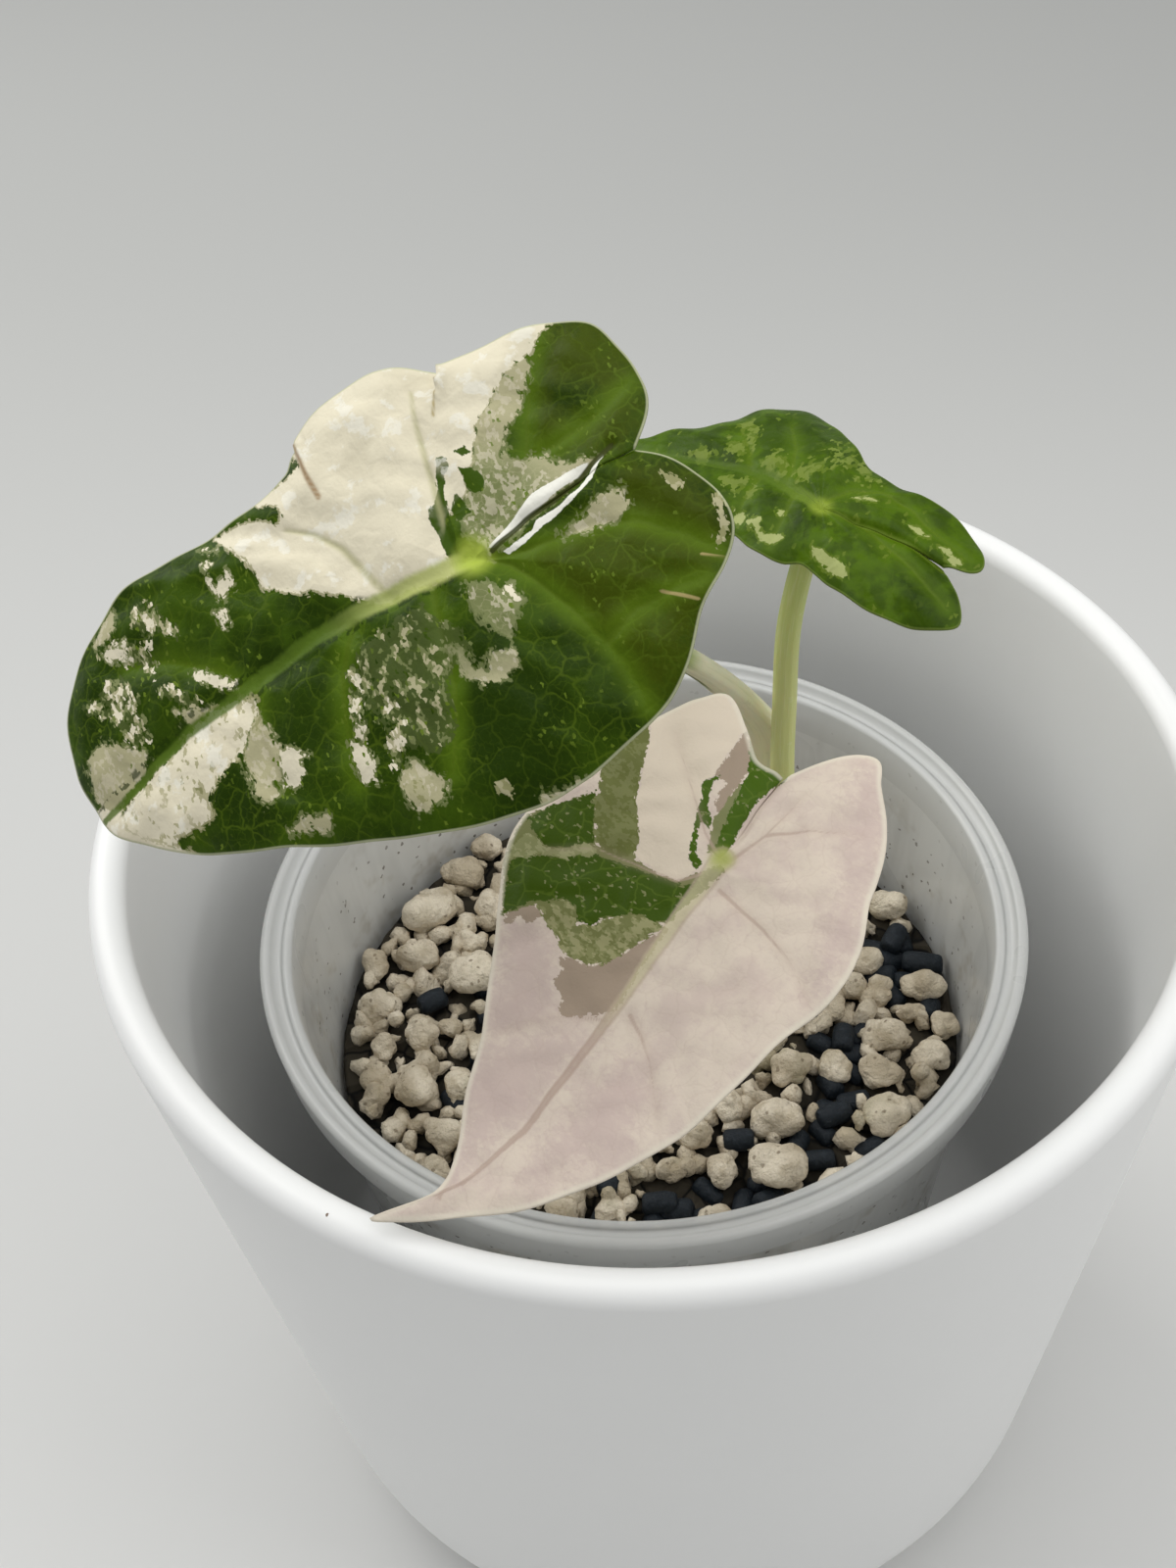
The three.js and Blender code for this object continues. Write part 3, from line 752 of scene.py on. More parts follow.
def stoneModels():
    # One rough lump and one bevelled rod, about a millimetre round, to strew.
    golden = (1 + math.sqrt(5)) / 2
    corners = [(a * i, b * j, c * k) for a, b, c in
               ((0, 1, golden), (1, golden, 0), (golden, 0, 1))
               for i in (-1, 1) for j in (-1, 1) for k in (-1, 1)]
    corners = sorted(set(corners))
    near = 2.01
    faces = []
    for i, p in enumerate(corners):
        for j in range(i + 1, len(corners)):
            for k in range(j + 1, len(corners)):
                a, b, c = (Vector(corners[n]) for n in (i, j, k))
                if max((a - b).length, (b - c).length, (a - c).length) < near:
                    outward = (b - a).cross(c - a).dot(a) > 0
                    faces.append((i, j, k) if outward else (i, k, j))
    size = 1 / Vector(corners[0]).length
    points = [tuple(size * part * squash for part, squash in zip(corner, (1.15, 0.95, 0.85)))
              for corner in corners]
    lumpModel = newPiece("lumpModel", points, faces)
    grow(lumpModel, weatherStone, levels=1, grow=0.1 * mm, material=pumiceStone)
    sides, rings = 10, [(-1.3, 0.55), (-1.12, 0.86), (-0.85, 0.95), (0.85, 0.95), (1.12, 0.86),
                        (1.3, 0.55)]
    points = [(along, radius * math.cos(2 * math.pi * k / sides),
               radius * math.sin(2 * math.pi * k / sides))
              for along, radius in rings for k in range(sides)]
    faces = [(r * sides + k, r * sides + (k + 1) % sides, (r + 1) * sides + (k + 1) % sides,
              (r + 1) * sides + k) for r in range(len(rings) - 1) for k in range(sides)]
    faces += [tuple(range(sides))[::-1], tuple((len(rings) - 1) * sides + k for k in range(sides))]
    faces = [face[::-1] for face in faces]
    return lumpModel, newPiece("rodModel", points, faces)


def bedDisc(name, setup, radius, chooser):
    # A fine disc on top of the bed with the room for stones stored on it.
    step = 1.0
    count = int(radius / step)
    centre = np.array(innerCup["centre"])
    grid = [(i * step, j * step) for i in range(-count, count + 1)
            for j in range(-count, count + 1)]
    places = np.array(grid) + centre
    keep = np.hypot(*(places - centre).T) <= radius
    number = np.cumsum(keep) - 1
    side = 2 * count + 1
    faces = []
    for i in range(side - 1):
        for j in range(side - 1):
            corners = [i * side + j, (i + 1) * side + j, (i + 1) * side + j + 1, i * side + j + 1]
            if keep[corners].all():
                faces.append(tuple(int(number[c]) for c in corners))
    places = places[keep]
    points = np.column_stack([places, np.full(len(places), setup["bedTop"])])
    disc = newPiece(name, points, faces)
    awayStem = np.hypot(*(places - np.array(setup["stemCentre"])).T) - setup["stemRoom"]
    taken = np.full(len(places), 1e9)                  # distance to the nearest loose stone
    for node in looseNodes:
        low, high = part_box(node)
        middle = np.array((low + high) / 2)[:2] / mm
        half = (high - low)[0] / mm / 2
        taken = np.minimum(taken, np.hypot(*(places - middle).T) - half)
    hollow = np.full(len(places), -1e9)                # how deep in a hollow of pellets
    for x, y, size in setup["hollows"]:
        hollow = np.maximum(hollow, size - np.hypot(*(places - np.array((x, y))).T))
    addField(disc, "room", chooser(awayStem, taken, hollow))
    return disc


def makeFill(setup):
    bed = innerCup["stand"] + innerCup["wall"] + setup["rest"]
    inside = [cupMouth(innerCup, z) - setup["rest"] for z in (bed + 5, setup["bedTop"])]
    profile = [(0, bed), (inside[0] - 5, bed), (inside[0] - 0.4, bed + 5),
               (inside[1] - 0.3, setup["bedTop"] - 0.5), (inside[1] - 0.8, setup["bedTop"]),
               (0, setup["bedTop"])]
    core = turned("packed_fill", evenly(profile, 1.2), bedFinish(setup), innerCup["centre"],
                  ripple=1.1, rippleSize=3.4, segments=160)
    stand(core, "substrate", "substrate_bed")
    lumpModel, rodModel = stoneModels()
    wall = cupMouth(innerCup, setup["bedTop"] + 2)
    layers = [
        ("bed_lumps_large", pumiceStone, "pumice", lumpModel, wall - 3.6,
         lambda stem, taken, hollow: (stem > 2.8) & (taken > 1.0) & (hollow < -1.2),
         {"spacing": setup["bigSpacing"] * mm, "smallest": 2.4, "largest": 3.6,
          "heap": 2.2 * mm, "sink": 0.0, "knobs": 3.4 * mm, "seed": 4}),
        ("bed_lumps_small", pumiceStone, "pumice", lumpModel, wall - 2.7,
         lambda stem, taken, hollow: (stem > 2.0) & (taken > -1.6) & (hollow < -0.4),
         {"spacing": setup["smallSpacing"] * mm, "smallest": 1.55, "largest": 2.5,
          "heap": 2.4 * mm, "sink": 0.4 * mm, "knobs": 2.6 * mm, "seed": 11}),
        ("bed_pellets", charcoalPellet, "charcoal", rodModel, wall - 2.8,
         lambda stem, taken, hollow: np.where(stem > 1.6, np.where(hollow > -0.6, 1, 0.05), 0),
         {"spacing": setup["pelletSpacing"] * mm, "smallest": 1.4, "largest": 1.8,
          "heap": 1.3 * mm, "sink": 0.3 * mm, "tumble": 0.5, "seed": 23}),
    ]
    for name, material, slot, model, reach, chooser, values in layers:
        layer = bedDisc(name, setup, reach, chooser)
        grow(layer, strewStones, stone=model, crowd=setup["crowd"], material=material, **values)
        stand(layer, slot)
        print(name, len(layer.data.polygons), "faces")
    for model in (lumpModel, rodModel):
        bpy.data.objects.remove(model)


makeFill(fill)
print("fill made")

# Leaf blades. Each lies in its own frame, in millimetres: x to the tip, y to the nearer half,
# z out of the upper face. turn is heading, droop and roll. edge gives the distance from the
# petiole at each angle. Everything else drawn on a leaf is in the same (x, y).
blades = {
    "large": {
        "at": (-15, -27, 190), "turn": (-166, 24, -26),
        "length": 47, "lobe": 23, "width": 24,
        "tipDroop": 8, "lobeDroop": 2, "nearLift": -4, "farLift": -0.5,
        "columns": 420, "rings": 104, "slit": 0.1, "thickness": 0.46, "gapDepth": 0.5,
        "puff": 0.7, "groove": 0.22, "ribRise": 0.0, "ripple": 0.35,
        "rippleLength": 17, "roll": 0.35, "pucker": 0.2,
        "midrib": [(0, 0), (9, -1.1), (17, -1.8), (26, -1.5), (34, -1.6), (42, -0.4),
                   (47.5, 0)],
        "edge": [
            (-175, 17.8), (-166, 21.5), (-158, 23), (-150, 24.1), (-142, 25), (-133, 23.8),
            (-122, 21.7), (-110, 19.9), (-105, 19.7), (-94, 21.8), (-86, 22.5), (-75, 22.7),
            (-66, 22.8), (-58, 22.2), (-52, 21.4), (-42, 23.5), (-36, 27.5), (-31, 33),
            (-25, 41), (-20, 45.7), (-14, 47.8), (-7, 48.5), (-2, 47.8), (0, 47.5),
            (3, 46.3), (7, 43.7), (13, 40.5), (20, 37), (29, 32.5), (41, 29), (54, 27),
            (73, 24.5), (96, 22.6), (109, 22.5), (124, 22.3), (137, 21.8), (149, 23.2),
            (158, 24), (165, 23.3), (172, 21.6), (178, 20), (185, 17.8),
        ],
        "marks": {
            "cream": {
                "tipEnd": [(44.6, 0.2), (47.2, -1.6), (49.8, -1), (49.4, 1.4), (46.6, 4.6),
                    (43.6, 7.6), (38.2, 10.6), (39.2, 8.2), (42.6, 5.2), (44.8, 2.6)],
                "farSector": [(22.7, -17.3), (19.3, -16.6), (17.4, -15.5), (15.5, -13.5),
                    (14.7, -15.5), (15.7, -16.6), (16.9, -17), (17.3, -17.9), (13.1, -17.7),
                    (11.5, -18.3), (12.1, -22), (9.4, -23.6), (4.4, -24.4), (-0.5, -23.8),
                    (-5.6, -20.6), (-11.2, -19.9), (-17.5, -18), (-14.4, -16.3), (-13.4, -15.3),
                    (-10.3, -14.3), (-5.9, -11.3), (-4.1, -8.3), (-2.9, -7.5), (-2.1, -5.7),
                    (-0.9, -5.5), (0.6, -4.7), (1.9, -2.6), (2.2, 0.4), (10.1, -1.2),
                    (14.9, -5.6), (16.2, -6.1), (19.6, -8.8), (20, -12.5)],
            },
            "marble": {
                "tipSector": [(25.3, 0), (26, 1.4), (29.5, 4.1), (33.5, 5), (34.3, 5.8),
                    (34.5, 7.3), (40.5, 6.8), (38.7, 8.5), (37.9, 10.8), (44.6, 7.4), (49.3, 1.3),
                    (49.8, -1), (44.7, 0.6), (36.2, -0.8), (31.7, -2), (26.8, -1.3)],
            },
            "palePatch": {
                "nearMargin": [(-22.1, 5.4), (-22.6, 6.4), (-21.8, 8.7), (-20.9, 10.2),
                    (-19.9, 10.5), (-19.9, 9.9), (-21.1, 8.8)],
                "nearBlot": [(-18.8, 1.8), (-20.3, 3.6), (-19.3, 4.2), (-18.9, 3.2)],
                "roundBlot": [(14.9, 15), (14.1, 15.9), (13.9, 17.2), (15.5, 17.4), (15.7, 15.8)],
                "lowDot": [(7.9, 19.4), (6.9, 19.6), (6.4, 20.4), (7.5, 21.1), (8.2, 20.4)],
            },
            "gap": {
                "sinus": [(-1.9, 0.5), (-5.8, -0.5), (-9, -0.7), (-11.6, -1.1), (-13.4, -1.8),
                    (-16, -2.9)],
            },
            "blots": {
                "blotOne": [(24.6, -13.3), (24, -12.4), (23, -12.4), (22.2, -12.7), (22.4, -11.3),
                    (24.1, -10.4), (24.6, -11.8)],
                "blotTwo": [(25.4, -10), (24.5, -9.4), (24.4, -8), (25.5, -8.4)],
                "dotOne": [(24.5, -15.2), (23.6, -14.5), (24.3, -14)],
                "dotTwo": [(24.7, -17.5), (22.6, -15.9), (22.7, -15.2), (24.1, -16.5)],
                "besideRib": [(30.5, -6.7), (29.5, -6), (26.7, -2.8), (27.4, -2.4), (30.5, -5.7)],
                "leftBlot": [(39.2, -14.6), (36, -13.9), (36.8, -13), (36.1, -11.7),
                    (38.5, -13.4)],
                "columnLow": [(18.5, 8.9), (17.6, 9.7), (17.2, 11), (17.6, 13.6), (18.9, 13.2),
                    (19.3, 12.1), (19.2, 10.7)],
                "columnHigh": [(17.2, 7.9), (16.6, 8.6), (17.4, 9.5), (17.9, 8.7)],
                # shine is a painted highlight near the junction, drawn as a pale blot.
                "shine": [(-1.4, 4.1), (-2, 4.7), (-2.2, 6.2), (-1.6, 6.2), (-1.3, 5)],
                "spikes": [(25.3, 5.9), (23.9, 6.6), (22.6, 7.9), (24, 7.8), (24.2, 9.2),
                    (25.7, 9.7), (26.3, 9)],
            },
            "slit": {
                "farBand": [(-1.7, 0.1), (-7.7, -2.3), (-11.1, -2.4), (-13.7, -2.2),
                    (-12.1, -1.5), (-9.8, -1.3), (-2.2, 0.4)],
                "nearBand": [(-2.8, 1.1), (-6, 0.8), (-6.8, 0.2), (-9.1, 0.1), (-11.6, -0.4),
                    (-13, -1.2), (-14.6, -2.4), (-15.2, -2.4), (-13.1, -0.6), (-11.1, 0.2),
                    (-4.8, 1.5), (-3, 1.5)],
            },
            "grey": {
                "lobeWing": [(-12.7, -15), (-12.7, -13.8), (-11.2, -12.4), (-10.1, -10.5),
                    (-8.9, -9.9), (-7.5, -8.7), (-6.7, -7.3), (-8.2, -5.7), (-9.4, -5.9),
                    (-10.3, -5.1), (-10.8, -3.9), (-12.5, -2.8), (-14.7, -2.2), (-1.5, 0.8),
                    (-0.5, -0.6), (-0.6, -3.9), (-1.9, -5.9), (-3.4, -6.7), (-4, -8.6),
                    (-6, -11.5), (-10.8, -14.5)],
                "spikes": [(25.8, 0.2), (25.9, 1.7), (25.5, 2.9), (25.3, 4.6), (24.7, 5.9),
                    (23.8, 6.7), (23.9, 8.1), (27.3, 8), (27.3, 9.3), (28.6, 9.5), (29.6, 7.9),
                    (29.1, 7), (29.2, 4.6)],
                "panelOne": [(1.1, 2.5), (0.2, 2.6), (-0.9, 4), (-2, 4.4), (-2.3, 6.3),
                    (0.2, 8.6), (1.1, 7.6), (1.9, 4.7), (2, 3.1)],
                "panelTwo": [(5.9, 6.5), (4.8, 7.2), (4.7, 8.7), (3, 11.8), (4, 11.4),
                    (5.1, 10.3), (5.7, 8.9)],
                "panelThree": [(2.3, 9.1), (1.1, 9.5), (0.4, 10.2), (0.8, 11.6), (2.2, 11.8),
                    (3.3, 11.4), (3.3, 10.1)],
                "roundPatch": [(15.6, 14.5), (13.6, 13.8), (13, 15.5), (11.8, 16.8), (12.7, 17.9),
                    (14.6, 18.3), (15.7, 17.9), (16.2, 16.2)],
                "lobeStreak": [(-8.4, 2.6), (-10.7, 2.1), (-12, 1.5), (-14.1, 1.4), (-15.4, 1.8),
                    (-14.3, 3.4), (-12.4, 3.7), (-10.1, 3.3)],
                "tipFan": [(45.7, -6.1), (43.2, -6.3), (38.7, -2.6), (40.3, -1.1), (46.7, 0.2),
                    (46.8, -3)],
                "leftMargin": [(40, -16.2), (38.6, -17.6), (36.5, -18.2), (36.3, -16.6),
                    (37.5, -15.6), (39.1, -15.3)],
                "ribPatch": [(33.9, -4.2), (30.4, -2.5), (31.5, -1.5), (32.8, -1.7)],
                "lowMargin": [(5.3, 22.1), (2.8, 22.8), (0.2, 23), (0.1, 23.6), (5.3, 23)],
                "lowMarginLeft": [(28, 12.8), (26.1, 12.6), (23.5, 13.9), (24.4, 14.7),
                    (26.2, 14)],
            },
            "haze": {
                "belowRib": [(10.3, 1.4), (6.5, 1.6), (4, 5.3), (3.8, 7.8), (7.3, 8.6), (8.6, 13),
                    (11.2, 14.8), (13.5, 12.7), (16.4, 5.2), (14.1, 2.1)],
            },
            "mottle": {
                "leftFan": [(43.4, -11.1), (40.8, -10.8), (39.7, -11.9), (37.8, -10.9),
                    (36.7, -7), (37.8, -7.1), (37.4, -5.6), (37.5, -3), (39.8, -3.8), (41, -7.7),
                    (43.2, -9.2)],
                "leftSplash": [(33.2, -16.7), (31.2, -15.7), (31.1, -13.6), (30, -11.6),
                    (29.8, -10), (31.1, -11.1), (32.3, -12.9), (33.7, -11.5), (33.9, -13.7),
                    (34.8, -14.9)],
                "leftSmall": [(40.1, -14.6), (38.1, -15.1), (35.9, -14.2), (33.9, -11.9),
                    (33.7, -9.5), (35.3, -9.7), (37.1, -11.8)],
                "ribSplash": [(34.8, -8.4), (31.2, -4.3), (30.2, -2.5), (32.7, -3.8),
                    (34.6, -6.2)],
                "column": [(15.7, 2.4), (13.6, 2.9), (13.7, 4.7), (15.8, 7.7), (16.9, 10.2),
                    (18.3, 9.3)],
                "flecks": [(13.6, 7.6), (12.4, 8.7), (13, 11.4), (15.6, 14.2), (15.7, 11.9)],
            },
            "islands": {
                "tall": [(-1.1, -10.8), (-1.9, -10.3), (-2.1, -9.2), (-1.1, -8.6), (-0.4, -7.4),
                    (0.9, -1.3), (2.1, -1.1), (2, -5.6), (1.7, -6.5), (0.8, -6.9), (0.1, -7.8),
                    (-0.1, -9), (-0.9, -10)],
                "top": [(-3.1, -10.1), (-4, -10.1), (-4.5, -9), (-3.6, -9)],
                "right": [(-2.7, -8.3), (-3.9, -7.4), (-4.3, -6.1), (-3.9, -5.2), (-2.8, -5.2),
                    (-2.5, -6.1)],
                "low": [(-1.3, -6.5), (-1.8, -3.9), (-0.5, -3.8), (-0.2, -5.2)],
            },
            "shade": {
                "lobeHeart": [(-13.7, -11.4), (-16.8, -9.5), (-17, -7.4), (-14.8, -7.1),
                    (-12.7, -9.2)],
                "besideSlit": [(-4.4, 1.3), (-14.7, -1), (-14.9, 0.7), (-11.3, 1.8), (-7, 2.3)],
            },
            "deep": {
                "lowerHalf": [(20.8, 0.3), (8.1, 2.8), (5.7, 8.5), (-2.8, 10.4), (-7.1, 19),
                    (-4.2, 22.3), (3.8, 21.8), (18.2, 16.8), (33.3, 9.4), (33.8, 6.3)],
                "leftTip": [(38.6, -17.6), (31.9, -8.2), (26.8, -2.5), (34.7, -2.6), (41.1, -4),
                    (44.9, -7.6), (42.8, -13.4)],
            },
            "olive": {
                "nearLobe": [(-2.2, 1.1), (-7.4, 1.5), (-16.6, -0.8), (-20.8, 2.8), (-22.1, 8.8),
                    (-18.4, 14), (-10.7, 19.7), (-7.2, 19.8), (-7.6, 14.6)],
                "farLobe": [(-8.7, -5.6), (-12.5, -12.5), (-16.3, -17.3), (-20.5, -15.3),
                    (-22, -7.9), (-18.7, -3), (-14.8, -1.3)],
            },
            "scar": {
                "notch": [(11.2, -21), (10.7, -13.7)],
            },
            "crease": {
                "fold": [(-5.1, -19.2), (-2.7, -14.7)],
            },
            "tan": {
                "one": [(-18.4, 10.5), (-20.2, 11.7)],
                "two": [(-13.7, 11.7), (-16.2, 14)],
            },
            "veins": {
                "farLobe": [(0.1, -0.1), (-6, -3.9), (-8.5, -6), (-12.3, -13.2), (-14.7, -16.5)],
                "farLobeSide": [(-8.7, -5.9), (-11.4, -5.7), (-15.2, -6.2), (-19.9, -7.7)],
                "nearLobe": [(-0.1, 0.1), (-2.8, 2.5), (-4.1, 4.9), (-5.7, 8.8), (-7.7, 15.4),
                    (-7.6, 20.2)],
                "nearLobeSide": [(-1.4, 1), (-5, 2.2), (-11.6, 3.2), (-14.8, 4.9), (-18.1, 8),
                    (-19.7, 10.6)],
                "low": [(4.8, 0.5), (7.1, 9.8), (8.6, 13), (11.1, 16.6)],
                "lowTip": [(24.6, -1.1), (26, 1.4), (26.8, 4.7), (26.5, 8.6)],
                "lowMiddle": [(13.3, -0.5), (16.3, 3.1), (18.2, 7.3), (19.8, 12.6)],
                "panel": [(8.7, -0.6), (10.9, -7.9), (12.9, -11), (15.4, -13.2)],
                "tipFar": [(26.3, -2.2), (27.6, -4.8), (30.3, -7.4), (33.2, -9.6), (37.2, -11.6)],
                "sector": [(1.3, -0.1), (1.1, -3.9), (-0.6, -14.3), (-1.7, -18.4)],
                "nearFork": [(-7.3, 13.4), (-11, 12), (-14.9, 12.1), (-17.6, 12.6)],
            },
        },
    },
    "small": {
        "at": (21.5, 10, 165), "turn": (143, 0, -10),
        "length": 31, "lobe": 20, "width": 12,
        "tipDroop": 3.4, "lobeDroop": 4, "nearLift": -2.5, "farLift": -2,
        "columns": 300, "rings": 64, "slit": 0.1, "thickness": 0.46, "gapDepth": 0.5,
        "puff": 0.6, "groove": 0.22, "ribRise": 0.0, "ripple": 0.3,
        "rippleLength": 13, "roll": 0.3, "pucker": 0.12,
        "midrib": [(0, 0), (9, -2), (17, -1), (31, 0)],
        "edge": [
            (-179, 15.5), (-176, 18.2), (-172, 19.3), (-165, 18.6), (-156, 16.4),
            (-147, 14.3), (-139, 11.8), (-125, 9.6), (-100, 9), (-80, 11), (-63, 14.5),
            (-54, 18), (-46, 20.2), (-36, 21.6), (-25, 21.5), (-16, 22.6), (-7, 26.8),
            (0, 31), (10, 25.5), (22, 19.5), (36, 14.5), (50, 11.7), (61, 10.6), (75, 9.4),
            (100, 7.6), (116, 8.8), (127, 10.8), (137, 13.2), (146, 15.7), (155, 18.4),
            (162, 20.5), (167, 20.9), (173, 19), (181, 15.5),
        ],
        "marks": {
            "gap": {
                "sinus": [(-1.8, 0.1), (-6, -0.1), (-10.5, -0.3), (-15.5, 0)],
            },
            "light": {
                "farOne": [(16.8, -6.5), (17, -9.6), (16.2, -11.2), (13.8, -9.1), (12.3, -5.1),
                    (12.8, -2.8), (15.5, -3.7)],
                "farTwo": [(10.7, -3.7), (9.5, -6), (7, -4.4), (6.2, -1.9), (8.7, -1.7)],
                "farThree": [(6.1, -3.9), (3.9, -9.1), (1.4, -7.5), (2.5, -3.7), (4.4, -2.3)],
                "farMargin": [(5.3, -11.3), (2.1, -10.8), (-2, -8.6), (-3.8, -7.1), (-1.8, -6.1),
                    (1.7, -7.1)],
                "tipOne": [(20, -1.7), (17.7, -3.7), (14, -2.3), (16.6, -0.9)],
                "tipNear": [(13.5, 0.6), (10.5, 0), (7.6, 0.6), (8.4, 2.2), (11.8, 2.2)],
            },
            "pale": {
                "nearOne": [(6.9, 5.3), (5.6, 4.5), (4.2, 6.1), (2.9, 5.6), (1.6, 5.7),
                    (2.4, 6.9), (3.9, 7.1), (5.1, 6)],
                "nearTwo": [(9.1, 4.3), (7.4, 4.4), (7, 5.9), (8.6, 5.6)],
                "underside": [(-1.9, 5.4), (-3.4, 5.3), (-5, 5.9), (-6.7, 6.2), (-7.7, 7.5),
                    (-6.6, 7.5), (-3.1, 6.6)],
                "dot": [(4.7, 2.3), (3.7, 2.2), (3.6, 3.2)],
                "slitOne": [(-2.2, -2.8), (-3.8, -3.8), (-5.3, -3.8), (-3.8, -2.8)],
                "slitTwo": [(-9.7, -2.4), (-10.9, -3.1), (-12.4, -2.5), (-11.1, -1.9)],
                "slitThree": [(-13.9, -1.9), (-15.3, -2.3), (-17.3, -1.6), (-16, -1)],
            },
            "shade": {
                "heart": [(6.9, 0.2), (2.5, 0.9), (-1.1, 2.4), (0.1, 4.9), (4, 3.9)],
                "lobe": [(-12.2, 4.3), (-14.8, 3.4), (-17.4, 3.3), (-17.7, 5.5), (-14.9, 5.9)],
                "tip": [(16.7, -4.3), (14.3, -3.8), (13.5, -1.6), (15.9, -1.6)],
            },
            "veins": {
                "farLobe": [(-0.1, -1.3), (-1.7, -4), (-4.8, -5.4), (-8.8, -5), (-12.8, -3.4),
                    (-17, -2.6)],
                "nearLobe": [(-1.1, 0.3), (-4.3, -0.1), (-12.9, 2.3), (-18.5, 4.4)],
                "farOne": [(5.6, -1), (6.5, -4.1), (8.1, -7.6), (11.3, -11.6)],
                "farTwo": [(10.7, -1.5), (12.6, -4.5), (15.5, -7.3)],
                "nearOne": [(3.9, -0.7), (2.5, 7.5)],
                "nearTwo": [(9.3, -1.4), (8.5, 4.8)],
            },
        },
    },
    "pink": {
        "at": (7.5, -26.5, 146), "turn": (-138, 13, -5),
        "length": 53, "lobe": 20, "width": 20,
        "tipDroop": 1.5, "lobeDroop": 1.5, "nearLift": 1.2, "farLift": 1.2,
        "columns": 400, "rings": 96, "slit": 0.1, "thickness": 0.46, "gapDepth": 0.5,
        "puff": 0.4, "groove": 0.05, "ribRise": 0.55, "ripple": 0.3,
        "rippleLength": 21, "roll": 0.3, "pucker": 0.17,
        "midrib": [(0, 0), (9, 1.4), (19, 3.4), (26, 4.4), (36, 5.7), (44, 4.9), (53, 0)],
        "edge": [
            (-169, 12.7), (-154, 13.6), (-146, 17.6), (-139, 22.3), (-130, 21.8),
            (-122, 20.8), (-111, 20), (-95, 20.4), (-75, 22.8), (-61, 25.3), (-52, 26.4),
            (-43, 27.2), (-34, 28.6), (-20, 32.8), (-11, 38.6), (-4, 43.2), (-1, 46.5),
            (-0.4, 50), (0, 53), (1.6, 51), (4, 46.5), (8, 42.3), (14, 37.5), (20, 33.6),
            (29, 29.2), (40, 24.6), (56, 21), (77, 20), (90, 19.2), (109, 17), (120, 16.9),
            (133, 17.5), (147, 18.4), (160, 19.6), (169, 21.5), (175, 20.5), (182, 17),
            (191, 12.7),
        ],
        "marks": {
            "gap": {
                "sinus": [(-1, -0.1), (-6, -1.1), (-12.5, -2.5)],
            },
            "greyField": {
                "left": [(0.7, 0.6), (5, -2.5), (7.6, -12), (2.8, -16.3), (10.4, -20.5),
                    (15.8, -18.3), (20.5, -13.8), (17.2, -11.5), (17.9, -9.7), (15.8, -6.5),
                    (12.7, -4), (9.6, 1)],
            },
            "lilac": {
                "leftBand": [(20.9, -12.7), (18.8, -10.3), (18.8, -8.1), (20.9, -4), (22.6, -3.8),
                    (24.7, -0.6), (31.3, -5.1)],
                "tipLeft": [(33.4, -5.2), (26.4, -0.4), (23.8, 4.4), (45, 4)],
                "rightMargin": [(-19.4, 3.1), (-19.1, 6.9), (-14, 11.3), (-2.3, 16.6),
                    (4.8, 18.8), (6.9, 18), (-1, 15), (-8.8, 11), (-14.3, 5.5)],
                "tipRight": [(34.7, 8.1), (23.4, 8.3), (25.2, 12.9), (30.2, 15.1), (37, 11.9),
                    (38.9, 9.5)],
            },
            "mauve": {
                "heart": [(19.7, -5.6), (18.6, -2.2), (17.5, -1.1), (9.5, 1.3), (20.9, 3.7),
                    (24.6, -0.6), (22.8, -2.2), (22.5, -3.6), (20.8, -3.9)],
                "leftSpot": [(20.2, -13.7), (18.2, -13.2), (17.2, -12), (17.6, -9.7),
                    (19.2, -10.7), (19.5, -11.9), (20.9, -12.7)],
                "topSector": [(-13.9, -9.4), (-12.9, -7.1), (-10.1, -5.2), (-7, -4.8),
                    (-4.4, -3.9), (-3.9, -4.5), (-5.4, -5.7), (-7.5, -6.2), (-7.5, -8.1)],
            },
            "lowGrey": {
                "border": [(17.2, -11.5), (14.7, -9.9), (14.4, -8.3), (15.8, -6.5), (14.7, -4.9),
                    (12.7, -4.3), (10.8, -2.5), (10.1, -0.9), (9.6, 1.1), (13, 0), (15.7, -0.4),
                    (17.4, -1.2), (18.6, -2.3), (19.4, -5.2), (18.5, -6.8), (17.9, -9.7)],
            },
            "green": {
                "band": [(15.5, -17.5), (14.2, -17.3), (11.1, -13.5), (8.7, -12), (4.9, -0.8),
                    (0.7, 0.4), (0.9, 1.3), (9.6, 0.8), (10.9, -2.4), (12.7, -4.3), (13.9, -5.1),
                    (14.8, -5), (15.8, -6.5), (14.4, -8.3), (14.7, -9.9), (16.1, -10.8),
                    (16.8, -11.9), (20.3, -13.8)],
                # topLeft is green on the leaf and also stands for the large leaf's shadow there:
                # partly the leaf's colour, partly painted shadow.
                "topLeft": [(10.4, -19.9), (7.8, -19), (4.9, -17.3), (2.8, -16.3), (7.6, -12.2),
                    (9.6, -13.4), (11.4, -15.5), (11.4, -17.4)],
            },
            "lightGrey": {
                "streak": [(15.8, -17.9), (13.9, -18.6), (11.9, -18.8), (11.4, -17.4),
                    (11.7, -16), (9.9, -13.9), (8.2, -12.9), (7.7, -10.9), (9.3, -11.4),
                    (11.2, -13.4), (12, -14.9), (14.4, -17.1)],
            },
            "oliveGrey": {
                "wedge": [(2.8, -16), (0.2, -18.3), (-2.5, -19.1), (-5.5, -19), (-7.8, -18.2),
                    (-5.5, -16.2), (0.5, -12.4), (3.3, -9.1), (6.8, -6.8), (7.5, -12.1),
                    (3.9, -15.8)],
            },
            "topPink": {
                "wedge": [(-7.5, -18.2), (-11.8, -18.1), (-16.8, -15.9), (-14.6, -9.8),
